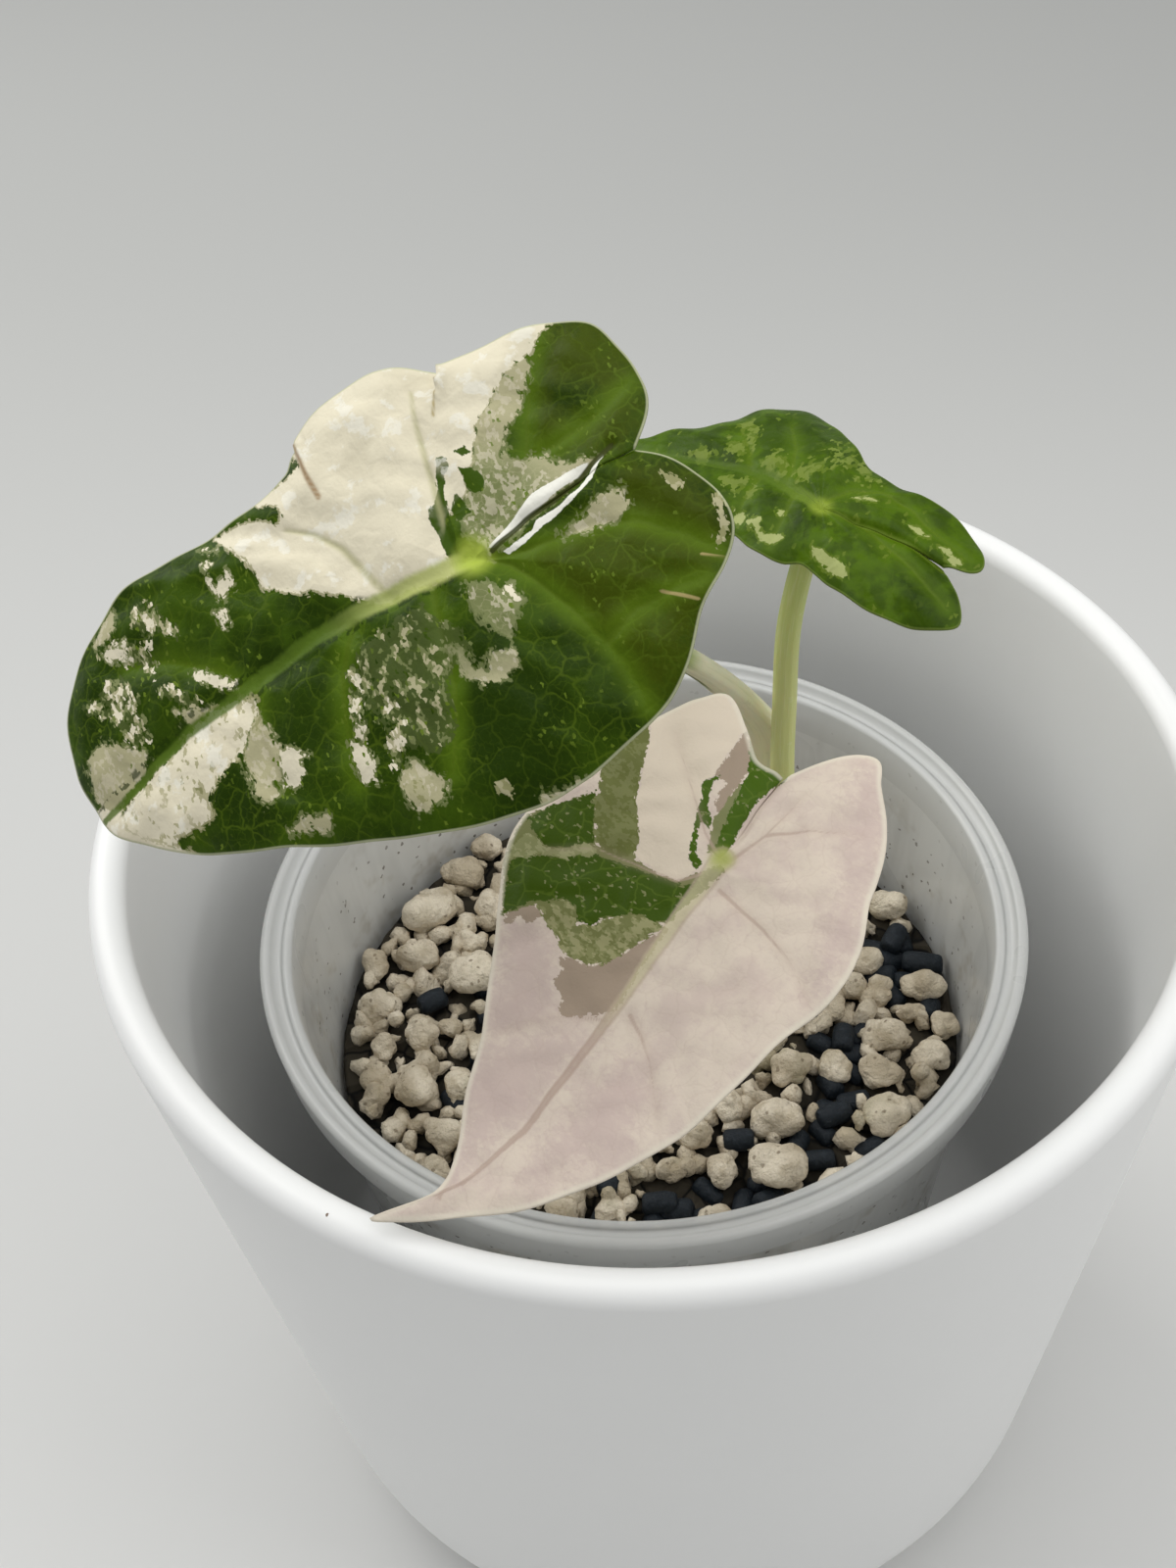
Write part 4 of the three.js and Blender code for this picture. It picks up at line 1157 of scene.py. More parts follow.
                    (-6.1, -7.8), (1.4, -3.2), (2.7, -1.4), (4.1, -1.5), (5, -2.2), (5.7, -4.1),
                    (5.6, -7.8), (4.2, -8.3), (0.7, -12.2), (-6, -16.5)],
            },
            "islands": {
                "edge": [(-5.6, -8.3), (-6.5, -8.3), (-7.7, -7.4), (-6.5, -7.3), (-5.1, -6.6),
                    (-3.8, -5.7), (-3.2, -4.4), (-2, -3.7), (-2.3, -5.2), (-0.8, -4.4),
                    (1.1, -2.8), (1.5, -1.4), (2.6, -1.4), (2.1, -3), (-2.5, -6.2), (-4.3, -7)],
                "slitStrip": [(-13.6, -8.3), (-13.7, -6), (-12.9, -2.2), (-8.3, -2), (-5.3, -1.5),
                    (-1.1, -0.2), (0.4, -0.1), (-0.1, -1.4), (-1.8, -2.2), (-10.1, -5.3)],
            },
            "greyGreen": {
                "between": [(-4.2, -4.2), (-8.6, -5), (-6.6, -3.4), (-0.4, -1.2), (0.5, -1.7),
                    (-3.3, -4.3)],
            },
            "veins": {
                "rightOne": [(2.9, 2.3), (3.5, 9.3), (4.3, 13), (5.2, 15.6), (7.1, 18.5)],
                "rightTwo": [(19.7, 5.1), (20.8, 8), (22.2, 10.5), (26.7, 16.1)],
                "lobe": [(-0.1, 0.7), (-5.5, 1.6), (-12, 1.2)],
                "lobeFork": [(-5.4, 1.7), (-9.1, 5.1), (-12.1, 9.4)],
                "left": [(21.8, 3.7), (23.1, 1.4), (24.8, -0.6), (30.5, -4.4)],
                "topWedge": [(0.1, -0.1), (-1.3, -3.7), (-8.4, -14.9)],
                "topLeft": [(2.7, -0.5), (5.1, -2.1), (7.8, -11.4), (11.6, -15.3)],
                "tip": [(46.8, 4.1), (44.3, 3.3)],
            },
        },
    },
}


# How far from a vein, the midrib, the margin or the slit each relief reaches, in mm.
reliefReach = {
    "puff": 2.6,
    "veinGroove": 0.45,
    "ribGroove": 0.8,
    "ribRise": 1.0,
    "ripple": 3.2,
    "roll": 0.7,
    "gap": 0.55,
    "ribRidge": 0.75,        # the two ridges are on the underside
    "veinRidge": 0.4,
}


def nearness(away, kind):
    # 1 on the line itself, and fading with the distance from it.
    return np.exp(-(away / reliefReach[kind]) ** 2)


def bladeHeight(leaf, along, across):
    reach = np.where(along > 0, leaf["length"], leaf["lobe"])
    droop = np.where(along > 0, leaf["tipDroop"], leaf["lobeDroop"])
    lift = np.where(across > 0, leaf["nearLift"], leaf["farLift"])
    return lift * (across / leaf["width"]) ** 2 - droop * (along / reach) ** 2


def creaseLift(leaf, places):
    # A fold raises one side of a crease line and lets the other side sag.
    total = np.zeros(len(places))
    for line, raised, sag, reach in leaf.get("creases", ()):
        away, share = lineDistance(places, line)
        outer, inner = np.array(line[0]), np.array(line[-1])
        side = inner - outer
        cross = side[0] * (places[:, 1] - outer[1]) - side[1] * (places[:, 0] - outer[0])
        signed = away * np.sign(cross)
        fade = smooth(1 - share, 0.0, 0.9)
        up = raised * smooth(signed, -0.15, 0.15) * np.exp(-np.maximum(signed, 0) / reach)
        down = sag * smooth(-signed, -0.15, 0.15) * np.exp(-np.maximum(-signed, 0) / reach)
        total += (up - down) * fade
    return total


def makeBlade(name, leaf, material):
    first, final = leaf["edge"][0][0], leaf["edge"][-1][0]
    fine = np.linspace(first, final, 4000)
    reach = through(leaf["edge"], fine)
    rim = np.column_stack([reach * np.cos(np.radians(fine)), reach * np.sin(np.radians(fine))])
    run = np.concatenate([[0], np.cumsum(np.hypot(*np.diff(rim, axis=0).T))])
    columns, rings = leaf["columns"], leaf["rings"]
    angles = np.interp(np.linspace(0, run[-1], columns), run, fine)     # even steps round the edge
    reach = through(leaf["edge"], angles)
    step = np.arange(1, rings + 1) / rings
    shares = 1.2 * step - 0.2 * step**2                # closer together near the margin
    radius = shares[:, None] * reach
    gap = leaf["slit"] / 2 * smooth(shares, 0.1, 0.8)[:, None]
    squeeze = 1 - np.degrees(gap / np.maximum(radius, 1)) / ((final - first) / 2)
    middle = (first + final) / 2
    turnTo = np.radians(middle + (angles - middle) * squeeze)
    along = (radius * np.cos(turnTo)).ravel()
    across = (radius * np.sin(turnTo)).ravel()
    bend = np.where(along > 0, through(leaf["midrib"], np.clip(along, 0, leaf["length"])), 0)
    along = np.concatenate([[0], along])
    across = np.concatenate([[0], across + bend])
    places = np.column_stack([along, across])
    border = places[1 + (rings - 1) * columns:]
    border = np.concatenate([border, border[:1]])
    margin, _ = lineDistance(places, border)
    rim = np.concatenate([[0], np.tile(np.linspace(0, run[-1], columns), rings)])
    rib, ribRun = lineDistance(places, [(x, y) for x, y in leaf["midrib"]])
    veins = np.full(len(places), farAway)
    for line in leaf["marks"]["veins"].values():
        away, share = lineDistance(places, line)
        veins = np.minimum(veins, away + 0.25 * share)
    height = bladeHeight(leaf, along, across)
    nearest = np.minimum(rib, veins)
    height += leaf["puff"] * (1 - nearness(nearest, "puff")) * smooth(margin, 0, 4)
    height -= leaf["groove"] * nearness(veins, "veinGroove")
    height -= leaf["groove"] * nearness(rib, "ribGroove") * smooth(margin, 0, 3)
    height += leaf["ribRise"] * nearness(rib, "ribRise") * (1 - ribRun) * smooth(margin, 0, 3)
    wave = np.sin(2 * math.pi * rim / leaf["rippleLength"])
    wave += 0.5 * np.sin(2 * math.pi * rim / (0.43 * leaf["rippleLength"]) + 1.3)
    height += leaf["ripple"] * wave * np.exp(-margin / reliefReach["ripple"])
    height -= leaf["roll"] * np.exp(-margin / reliefReach["roll"])
    swell = np.sin(0.95 * along + np.sin(0.6 * across)) * np.sin(0.8 * across
                                                                 + np.sin(0.45 * along))
    height += leaf["pucker"] * swell * smooth(margin, 0, 3)
    height += creaseLift(leaf, places)
    gapAway, gapRun = lineDistance(places, leaf["marks"]["gap"]["sinus"])
    height -= leaf["gapDepth"] * nearness(gapAway, "gap") * smooth(gapRun, 0.02, 0.2)
    ridge = 0.55 * nearness(rib, "ribRidge") * (1 - 0.75 * ribRun)
    ridge = ridge + 0.22 * nearness(veins, "veinRidge")
    thick = leaf["thickness"] * (0.45 + 0.55 * smooth(margin, 0, 2.5))
    below = height - thick - ridge * smooth(margin, 0, 1.5)
    count = len(places)
    points = np.concatenate([np.column_stack([places, height]),
                             np.column_stack([places, below])])
    tilt = Euler([math.radians(a) for a in reversed(leaf["turn"])], "XYZ").to_matrix()
    points = points @ np.array(tilt).T + np.array(leaf["at"])
    slitRing = int(0.07 * rings)                       # the slit starts here

    def spot(ring, column):
        if ring < slitRing:
            column = column % (columns - 1)
        return 1 + ring * columns + column

    faces = []
    for j in range(columns - 1):
        faces.append((0, spot(0, j), spot(0, j + 1)))
        faces += [(spot(k, j), spot(k + 1, j), spot(k + 1, j + 1), spot(k, j + 1))
                  for k in range(rings - 1)]
    faces += [tuple(count + corner for corner in reversed(face)) for face in faces]
    edge = [spot(rings - 1, j) for j in range(columns)]
    edge += [spot(k, columns - 1) for k in range(rings - 2, slitRing - 2, -1)]
    edge += [spot(k, 0) for k in range(slitRing, rings - 1)]
    faces += [(a, count + a, count + b, b) for a, b in zip(edge, edge[1:] + edge[:1])]
    used = np.unique(np.concatenate([np.array(face) for face in faces]))
    renumber = np.full(2 * count, -1)
    renumber[used] = np.arange(len(used))
    faces = [tuple(int(renumber[c]) for c in face) for face in faces]
    piece = newPiece("leaf_" + name, points[used], faces, material)
    twice = lambda values: np.concatenate([values, values])[used]
    flat = np.column_stack([places, np.zeros(count)])
    addField(piece, "leafPlace", np.concatenate([flat, flat])[used], "FLOAT_VECTOR")
    addField(piece, "underside", np.repeat([0.0, 1.0], count)[used])
    addField(piece, "margin", twice(margin))
    addField(piece, "rib", twice(rib))
    addField(piece, "ribRun", twice(ribRun))
    addField(piece, "vein", twice(veins))
    for kind, outlines in leaf["marks"].items():
        if kind in ("scar", "crease", "tan", "gap"):
            away = [lineDistance(places, line)[0] for line in outlines.values()]
            addField(piece, kind, twice(np.min(away, axis=0)))
        elif kind != "veins":
            addField(piece, kind, twice(patchDepth(places, outlines.values())))
    stand(piece, "leaf_pink" if name == "pink" else "leaf_green", "blade_" + name)
    print("leaf", name, len(piece.data.polygons), "faces")
    return piece


blades["large"]["creases"] = [
    (blades["large"]["marks"]["crease"]["fold"], 1.5, 0.7, 5.0),
    (blades["large"]["marks"]["scar"]["notch"], 0.5, 0.6, 4.0),
]


class Blade:
    # The drawing of one leaf's colours, layer by layer. Lengths are in millimetres.
    def __init__(self, name, look):
        self.look = look
        fineness = look["fineness"]
        self.material, self.draw, self.shader = newFinish(
            name, Specular_IOR_Level=look["gloss"])
        draw = self.draw
        draw.dimensions = "2D"                         # all on the leaf's own plane
        self.place = draw.attribute("leafPlace", "Vector")
        uneven = draw.shaken(self.place, 1.7, 0.45)
        self.uneven = draw.node("ShaderNodeVectorMath", {"operation": "MULTIPLY"},
                                {0: uneven, 1: (1.25, 0.75, 1)})
        self.cell = draw.cells(self.uneven, fineness)
        middle = draw.cells(self.uneven, fineness, "Position")
        self.blot = draw.noise(middle, 0.22 * fineness, 5, 0.7)   # steps from cell to cell
        self.jag = (draw.noise(middle, 0.95, 3, 0.6) - 0.5) * 2.6 + (self.cell - 0.5) * 0.4
        self.heart = draw.node("ShaderNodeVectorMath", {"operation": "LENGTH"},
                               {0: self.place}, "Value")
        self.colour = None

    def paint(self, mask, colour):
        self.colour = self.draw.tint(mask, self.colour, colour)

    def patch(self, kind, colour, ragged=0.5, share=1.0, soft=0.05, wider=0.0):
        depth = self.draw.attribute(kind) + self.jag * ragged + wider
        self.paint(depth.ease(-soft, soft) * share, colour)

    def mottle(self, kind, steps, ragged=0.8):
        # Each step covers a smaller part of the patch.
        depth = self.draw.attribute(kind) + self.jag * ragged
        inside = depth.ease(-0.05, 0.05)
        level = self.blot + depth.ease(-0.5, 2.0) * 0.05
        for threshold, colour, share in steps:
            self.paint(level.ease(threshold - 0.003, threshold + 0.003) * inside * share, colour)

    def line(self, kind, width, colour, share=1.0, core=0.35):
        mask = (1 - self.draw.attribute(kind).ease(core * width, width)) * share
        self.paint(mask, colour)

    def specks(self, amount, colour, share=1.0):
        # Single cells and pairs, here and there.
        crowd = self.draw.noise(self.place, 0.16, 2).ease(0.42, 0.6) * 0.8 + 0.2
        self.paint((self.cell > 1 - amount) * (self.blot > 0.5) * crowd * share, colour)

    def midrib(self, near, far, turning, share=0.9, taper=1.0):
        # Tapers to the tip and turns from the near colour to the far one on the way.
        broad, narrow = self.look["ribBroad"], self.look["ribNarrow"]
        run = self.draw.attribute("ribRun")
        width = broad - (broad - narrow) * run**taper
        uneven = self.draw.attribute("rib") + self.jag * 0.12
        mask = 1 - (uneven / width).ease(0.45, 1.0)
        self.paint(mask * share, self.draw.tint(run.ease(*turning), near, far))

    def finish(self, net, underColour):
        # The paler underside, then roughness and the relief of the fine veins.
        draw, look = self.draw, self.look
        self.paint(draw.attribute("underside").ease(0.3, 0.7) * 0.55, underColour)
        low, spread = look["roughness"]
        roughness = low + spread * draw.noise(self.place, 0.9, 1)
        share, grain = look["relief"]
        bumps = net.ease(0.0, 0.3) * share + draw.noise(self.place, grain, 1) * 0.45
        feed(draw, self.shader, self.colour, roughness, bumps, look["bumpDepth"], 0.8)
        return self.material


leafColours = {
    "deep": (0.016, 0.036, 0.0008),
    "mid": (0.040, 0.080, 0.0025),
    "olive": (0.048, 0.070, 0.0015),
    "leafNet": (0.085, 0.135, 0.008),
    "haze": (0.070, 0.095, 0.024),
    "milk": (0.19, 0.215, 0.085),
    "greyGreen": (0.29, 0.285, 0.135),
    "ash": (0.43, 0.405, 0.245),
    "cream": (0.74, 0.685, 0.525),
    "creamShade": (0.60, 0.55, 0.41),
    "creamLine": (0.42, 0.41, 0.21),
    # Painted shade along the sinus, where one lobe shades the other.
    "slitWhite": (0.85, 0.84, 0.76),
    "slitDark": (0.045, 0.055, 0.010),
    "vein": (0.105, 0.185, 0.007),
    "rib": (0.085, 0.145, 0.014),
    "ribHeart": (0.44, 0.48, 0.155),
    "junction": (0.38, 0.48, 0.06),
    "tan": (0.40, 0.32, 0.14),
    "scar": (0.33, 0.20, 0.09),
    "marginLine": (0.50, 0.52, 0.33),
    "freshGreen": (0.066, 0.128, 0.0025),
    "light": (0.115, 0.172, 0.016),
    "lightest": (0.175, 0.23, 0.042),
    "pinkCream": (0.665, 0.575, 0.485),
    "lilac": (0.54, 0.43, 0.395),
    "mauve": (0.345, 0.27, 0.205),
    "rose": (0.43, 0.32, 0.265),
    "pinkRib": (0.52, 0.475, 0.29),
    "pinkMargin": (0.74, 0.69, 0.57),
    "pinkGreen": (0.042, 0.080, 0.0012),
    "borderGrey": (0.165, 0.175, 0.062),
    "smallPale": (0.36, 0.40, 0.15),
    "smallRib": (0.17, 0.25, 0.03),
    "smallHeart": (0.25, 0.33, 0.035),
    "smallMargin": (0.20, 0.27, 0.06),
    "borderLight": (0.23, 0.235, 0.10),
    "borderPale": (0.31, 0.30, 0.15),
    "lightGrey": (0.24, 0.25, 0.11),
    "lightGreyPale": (0.33, 0.33, 0.17),
    "oliveGrey": (0.14, 0.155, 0.045),
    "oliveGreyPale": (0.20, 0.21, 0.085),
    "topPink": (0.68, 0.59, 0.48),
    "dullGreen": (0.20, 0.21, 0.09),
    "island": (0.052, 0.105, 0.002),
    "fleck": (0.22, 0.23, 0.10),
    "greenNet": (0.12, 0.18, 0.02),
    "pinkHeart": (0.33, 0.38, 0.06),
    "underGreen": (0.20, 0.27, 0.09),
    "underPink": (0.62, 0.55, 0.47),
}

# How finely each leaf is drawn: colour cells for each mm, widths in mm of its vein glow, vein
# line, midrib at both ends and margin line, roughness and its spread, and the relief's share
# of fine veins and its grain for each mm.
leafLooks = {
    "large": {"fineness": 3.4, "gloss": 0.07, "veinGlow": 2.4, "veinLine": 0.5,
              "ribBroad": 1.4, "ribNarrow": 0.5, "margin": 0.24, "roughness": (0.34, 0.14),
              "relief": (0.6, 2.6), "bumpDepth": 0.00007},
    "small": {"fineness": 2.2, "gloss": 0.09, "veinGlow": 2.2, "veinLine": 0.6,
              "ribBroad": 1.3, "ribNarrow": 0.55, "margin": 0.2, "roughness": (0.3, 0.12),
              "relief": (0.6, 2.6), "bumpDepth": 0.00007},
    "pink": {"fineness": 3.6, "gloss": 0.13, "veinGlow": 1.3, "veinLine": 0.36,
             "ribBroad": 1.8, "ribNarrow": 0.2, "margin": 0.8, "roughness": (0.42, 0.14),
             "relief": (0.5, 3.0), "bumpDepth": 0.00007},
}


def leafNet(blade, tones, share):
    # Fine veins between the side veins, lighter than the green round them.
    draw = blade.draw
    coarse = draw.net(draw.shaken(blade.place, 0.5, 1.6), 0.40)
    small = draw.net(draw.shaken(blade.place, 1.5, 0.7), 1.15)
    lines = (1 - coarse.ease(0.0, 0.075)) * 0.75
    lines = lines.most((1 - small.ease(0.0, 0.09)) * 0.34)
    patchy = draw.noise(blade.place, 0.13, 2).ease(0.35, 0.62) * 0.6 + 0.4
    blade.paint(lines * patchy * share, tones["leafNet"])
    return coarse, small


def largeLeafFinish(tones, look):
    blade = Blade("largeLeaf", look)
    draw = blade.draw
    cloud = draw.noise(blade.place, 0.11, 4, 0.6)
    blade.colour = draw.tint(cloud.ease(0.36, 0.64), tones["deep"], tones["mid"])
    blade.patch("olive", tones["olive"], 1.6, 0.9, 2.0)
    blade.patch("deep", tones["deep"], 1.2, 0.7, 2.6)
    blade.paint(cloud.ease(0.5, 0.62) * (blade.cell > 0.35) * 0.25, tones["mid"])
    blade.patch("shade", tones["deep"], 1.0, 0.85, 1.4)
    coarse, small = leafNet(blade, tones, 0.75)
    blade.line("vein", look["veinGlow"], tones["vein"], 0.6, 0.0)
    blade.line("vein", look["veinLine"], tones["leafNet"], 0.6)
    blade.mottle("haze", ((0.40, tones["haze"], 0.7), (0.575, tones["milk"], 0.8),
                          (0.64, tones["ash"], 0.9)))
    blade.patch("grey", tones["milk"], 1.1, 0.7, 0.1, 0.3)
    blade.patch("grey", draw.tint(blade.heart.ease(7, 13), tones["milk"], tones["ash"]), 0.75)
    blade.mottle("grey", ((0.57, tones["creamShade"], 0.6),), 0.2)
    blade.paint((1 - small.ease(0.0, 0.1)) * draw.attribute("grey").ease(0, 0.5) * 0.35,
                tones["ash"])
    blade.mottle("mottle", ((0.42, tones["haze"], 0.8), (0.50, tones["milk"], 1),
                            (0.545, tones["ash"], 1), (0.585, tones["cream"], 1)))
    blade.patch("marble", tones["greyGreen"], 0.9, 0.9, 0.05, 0.2)
    blade.mottle("marble", ((0.36, tones["ash"], 1), (0.475, tones["cream"], 1)), 0.5)
    blade.patch("cream", tones["ash"], 0.6, 0.85, 0.05, 0.22)
    blade.patch("cream", tones["cream"], 0.45)
    # Pale blots; one of them, near the junction, is a painted highlight.
    blade.patch("blots", tones["milk"], 0.9, 0.8, 0.05, 0.3)
    blade.patch("blots", tones["cream"], 0.75)
    blade.patch("palePatch", tones["greyGreen"], 0.8)
    blade.mottle("palePatch", ((0.5, tones["ash"], 0.9),), 0.5)
    blade.patch("islands", tones["mid"], 0.28)
    blade.patch("slit", tones["slitWhite"], 0.1)
    creamy = draw.attribute("cream").most(draw.attribute("marble")).ease(0.0, 0.5)
    soft = draw.noise(blade.place, 0.17, 4, 0.55).ease(0.45, 0.68)
    blade.paint(creamy * soft * 0.5, tones["creamShade"])
    bright = draw.noise(blade.place, 0.33, 4, 0.6).ease(0.56, 0.64)
    blade.paint(creamy * bright * 0.5, tones["slitWhite"])
    white = creamy.most(draw.attribute("slit").ease(-0.3, 0.0))
    blade.specks(0.05, tones["light"], 1 - white)
    blade.line("vein", 0.7, tones["creamLine"], creamy * 0.7, 0.1)
    beside = draw.attribute("rib") + blade.jag * 0.15
    beside = beside.ease(0.7, 0.95) * (1 - beside.ease(1.35, 1.6)) * (1 - creamy)
    blade.paint(beside * (blade.blot > 0.49) * 0.75, tones["deep"])
    blade.midrib(tones["ribHeart"], tones["rib"], (0.08, 0.34))
    blade.paint((1 - blade.heart.ease(0.6, 2.8)) * 0.9, tones["junction"])
    # Painted shade: a dark line along the sinus, where one lobe's edge shades the other.
    blade.line("gap", 0.34, tones["slitDark"], 0.95, 0.5)
    blade.line("scar", 0.5, tones["scar"], 0.85, 0.1)
    blade.line("crease", 0.34, tones["tan"], 0.8, 0.1)
    blade.line("tan", 0.26, tones["tan"], 0.85)
    blade.line("margin", look["margin"], tones["marginLine"], 0.75)
    return blade.finish(coarse, tones["underGreen"])


def smallLeafFinish(tones, look):
    blade = Blade("smallLeaf", look)
    draw = blade.draw
    cloud = draw.noise(blade.place, 0.14, 4, 0.6)
    blade.colour = draw.tint(cloud.ease(0.4, 0.6), tones["mid"], tones["freshGreen"])
    blade.paint(draw.noise(blade.place, 0.3, 3).ease(0.5, 0.66) * 0.5, tones["deep"])
    blade.patch("shade", tones["deep"], 1.4, 0.8, 1.6)
    coarse, _ = leafNet(blade, tones, 0.3)
    blade.line("vein", look["veinGlow"], tones["vein"], 0.45, 0.0)
    blade.line("vein", look["veinLine"], tones["light"], 0.35)
    blade.mottle("light", ((0.47, tones["light"], 0.85), (0.55, tones["lightest"], 0.8)), 1.6)
    blade.patch("pale", tones["light"], 0.8, 0.9, 0.05, 0.25)
    blade.patch("pale", tones["smallPale"], 0.5)
    blade.specks(0.08, tones["light"])
    blade.midrib(tones["smallRib"], tones["rib"], (0.02, 0.3), 0.7)
    blade.paint((1 - blade.heart.ease(0.4, 2.0)) * 0.8, tones["smallHeart"])
    # Painted highlight: a light line along the slit, on the near lobe's raised edge.
    blade.line("gap", 0.4, tones["light"], 0.7, 0.3)
    blade.line("margin", look["margin"], tones["smallMargin"], 0.5)
    return blade.finish(coarse, tones["underGreen"])


def pinkLeafFinish(tones, look):
    blade = Blade("pinkLeaf", look)
    draw = blade.draw
    wash = draw.noise(blade.place, 0.15, 5, 0.62).ease(0.42, 0.68)
    blade.colour = draw.tint(wash * 0.55, tones["pinkCream"], tones["lilac"])
    blade.patch("lilac", tones["lilac"], 2.4, 0.8, 2.4)
    fine = draw.noise(blade.place, 1.1, 4, 0.65).ease(0.5, 0.75)
    blade.paint(fine * 0.3, tones["lilac"])
    coarse = draw.net(draw.shaken(blade.place, 0.5, 1.6), 0.34)
    blade.paint((1 - coarse.ease(0.0, 0.06)) * 0.12, tones["rose"])
    blade.patch("mauve", tones["mauve"], 0.6)
    blade.patch("greyField", tones["borderGrey"], 0.5)
    blade.patch("lowGrey", tones["borderGrey"], 0.6)
    blade.mottle("lowGrey", ((0.5, tones["borderLight"], 0.9),
                             (0.56, tones["borderPale"], 0.9)), 0.6)
    blade.patch("green", tones["pinkGreen"], 0.55)
    blade.patch("lightGrey", tones["lightGrey"], 0.5)
    blade.mottle("lightGrey", ((0.54, tones["lightGreyPale"], 0.8),))
    blade.patch("oliveGrey", tones["oliveGrey"], 0.5)
    blade.mottle("oliveGrey", ((0.54, tones["oliveGreyPale"], 0.7),))
    blade.patch("topPink", tones["topPink"], 0.4)
    blade.patch("greyGreen", tones["dullGreen"], 0.4)
    blade.patch("islands", tones["island"], 0.32)
    greens = draw.attribute("green").most(draw.attribute("islands")).ease(0.0, 0.3)
    blade.paint((blade.cell > 0.86) * (blade.blot > 0.51) * greens * 0.8, tones["fleck"])
    blade.paint((1 - coarse.ease(0.0, 0.07)) * greens * 0.4, tones["greenNet"])
    blade.line("vein", look["veinGlow"], tones["rose"], 0.16, 0.0)
    blade.line("vein", look["veinLine"], tones["rose"], 0.6)
    run = draw.attribute("ribRun")
    blade.midrib(tones["pinkRib"], tones["rose"], (0.25, 0.5), 0.7, 0.5)
    edge = draw.attribute("rib") - (1.4 - 1.5 * run**0.5)
    edge = (1 - edge.ease(0.0, 0.3)) * edge.ease(-0.3, 0.0)
    blade.paint(edge * (1 - run.ease(0.5, 0.9)) * 0.4, tones["rose"])
    blade.paint((1 - blade.heart.ease(0.3, 2.2)) * 0.75, tones["pinkHeart"])
    blade.line("margin", look["margin"], tones["pinkMargin"], 0.65, 0.3)
    return blade.finish(coarse, tones["underPink"])


for name, leafFinish in (("large", largeLeafFinish), ("small", smallLeafFinish),
                         ("pink", pinkLeafFinish)):
    makeBlade(name, blades[name], leafFinish(leafColours, leafLooks[name]))

# Stalks: the line from the stem to the blade, with the half width and half depth at each
# point, in millimetres. groove is the depth of the open sheath at each point.
stalks = {
    "large": {
        "path": [(13, 10.6, 88.4), (13.1, 10.9, 92), (14.6, 13.4, 103), (16.6, 16.4, 115),
                 (15.9, 16.2, 123), (13, 13.8, 131), (6.6, 8, 143.5), (-3.2, -6, 163),
                 (-10.8, -18.6, 179), (-14.7, -26.3, 188.9)],
        "width": [2.3, 2.5, 2.8, 3, 2.8, 2.3, 1.75, 1.6, 1.5, 1.5],
        "depth": [1.9, 1.9, 1.8, 1.7, 1.7, 1.7, 1.6, 1.55, 1.5, 1.5],
        "groove": [0.1, 0.2, 0.4, 0.5, 0.45, 0.3, 0.1, 0, 0, 0],
        "slot": "petiole",
        "finish": "sheathStalk",
        "foot": (0.74, 0.66, 0.50), "body": (0.86, 0.84, 0.60), "top": (0.42, 0.47, 0.15),
        "streak": (0.68, 0.68, 0.43),
        # a dark stripe up one side of the sheath, with a tan edge and a fresh green patch
        "stripe": {"low": -0.8, "high": -0.4, "start": 0.42, "colour": (0.13, 0.17, 0.03),
                   "edge": (0.46, 0.38, 0.22), "fresh": (0.24, 0.35, 0.03)},
    },
    "small": {
        "path": [(18.5, 9.5, 88.4), (18.2, 10.4, 101), (17.7, 11.4, 120), (17.8, 11.1, 133),
                 (18.1, 10.5, 146.5), (19.8, 10, 158), (21.5, 10.1, 163.8)],
        "width": [2.1, 1.8, 1.65, 1.6, 1.55, 1.45, 1.4],
        "depth": [2.1, 1.8, 1.65, 1.6, 1.55, 1.45, 1.4],
        "groove": [0, 0.1, 0.05, 0, 0, 0, 0],
        "slot": "petiole",
        "finish": "greenStalk",
        "foot": (0.76, 0.66, 0.50), "body": (0.66, 0.70, 0.28), "top": (0.58, 0.66, 0.20),
        "streak": (0.74, 0.76, 0.42),
    },
    "pink": {
        "path": [(14.5, 4.5, 88.4), (14.7, 4.1, 92), (15.4, -1.5, 104), (14.6, -9.5, 118),
                 (11.6, -19, 134), (8, -26, 144.9)],
        "width": [2.2, 2.1, 2, 1.8, 1.6, 1.5],
        "depth": [2.1, 2, 1.9, 1.7, 1.6, 1.5],
        "groove": [0.1, 0.15, 0.25, 0.1, 0, 0],
        "slot": "petiole_pink",
        "finish": "rosyStalk",
        "foot": (0.70, 0.60, 0.48), "body": (0.68, 0.57, 0.46), "top": (0.55, 0.55, 0.28),
        "streak": (0.50, 0.38, 0.30),
    },
}


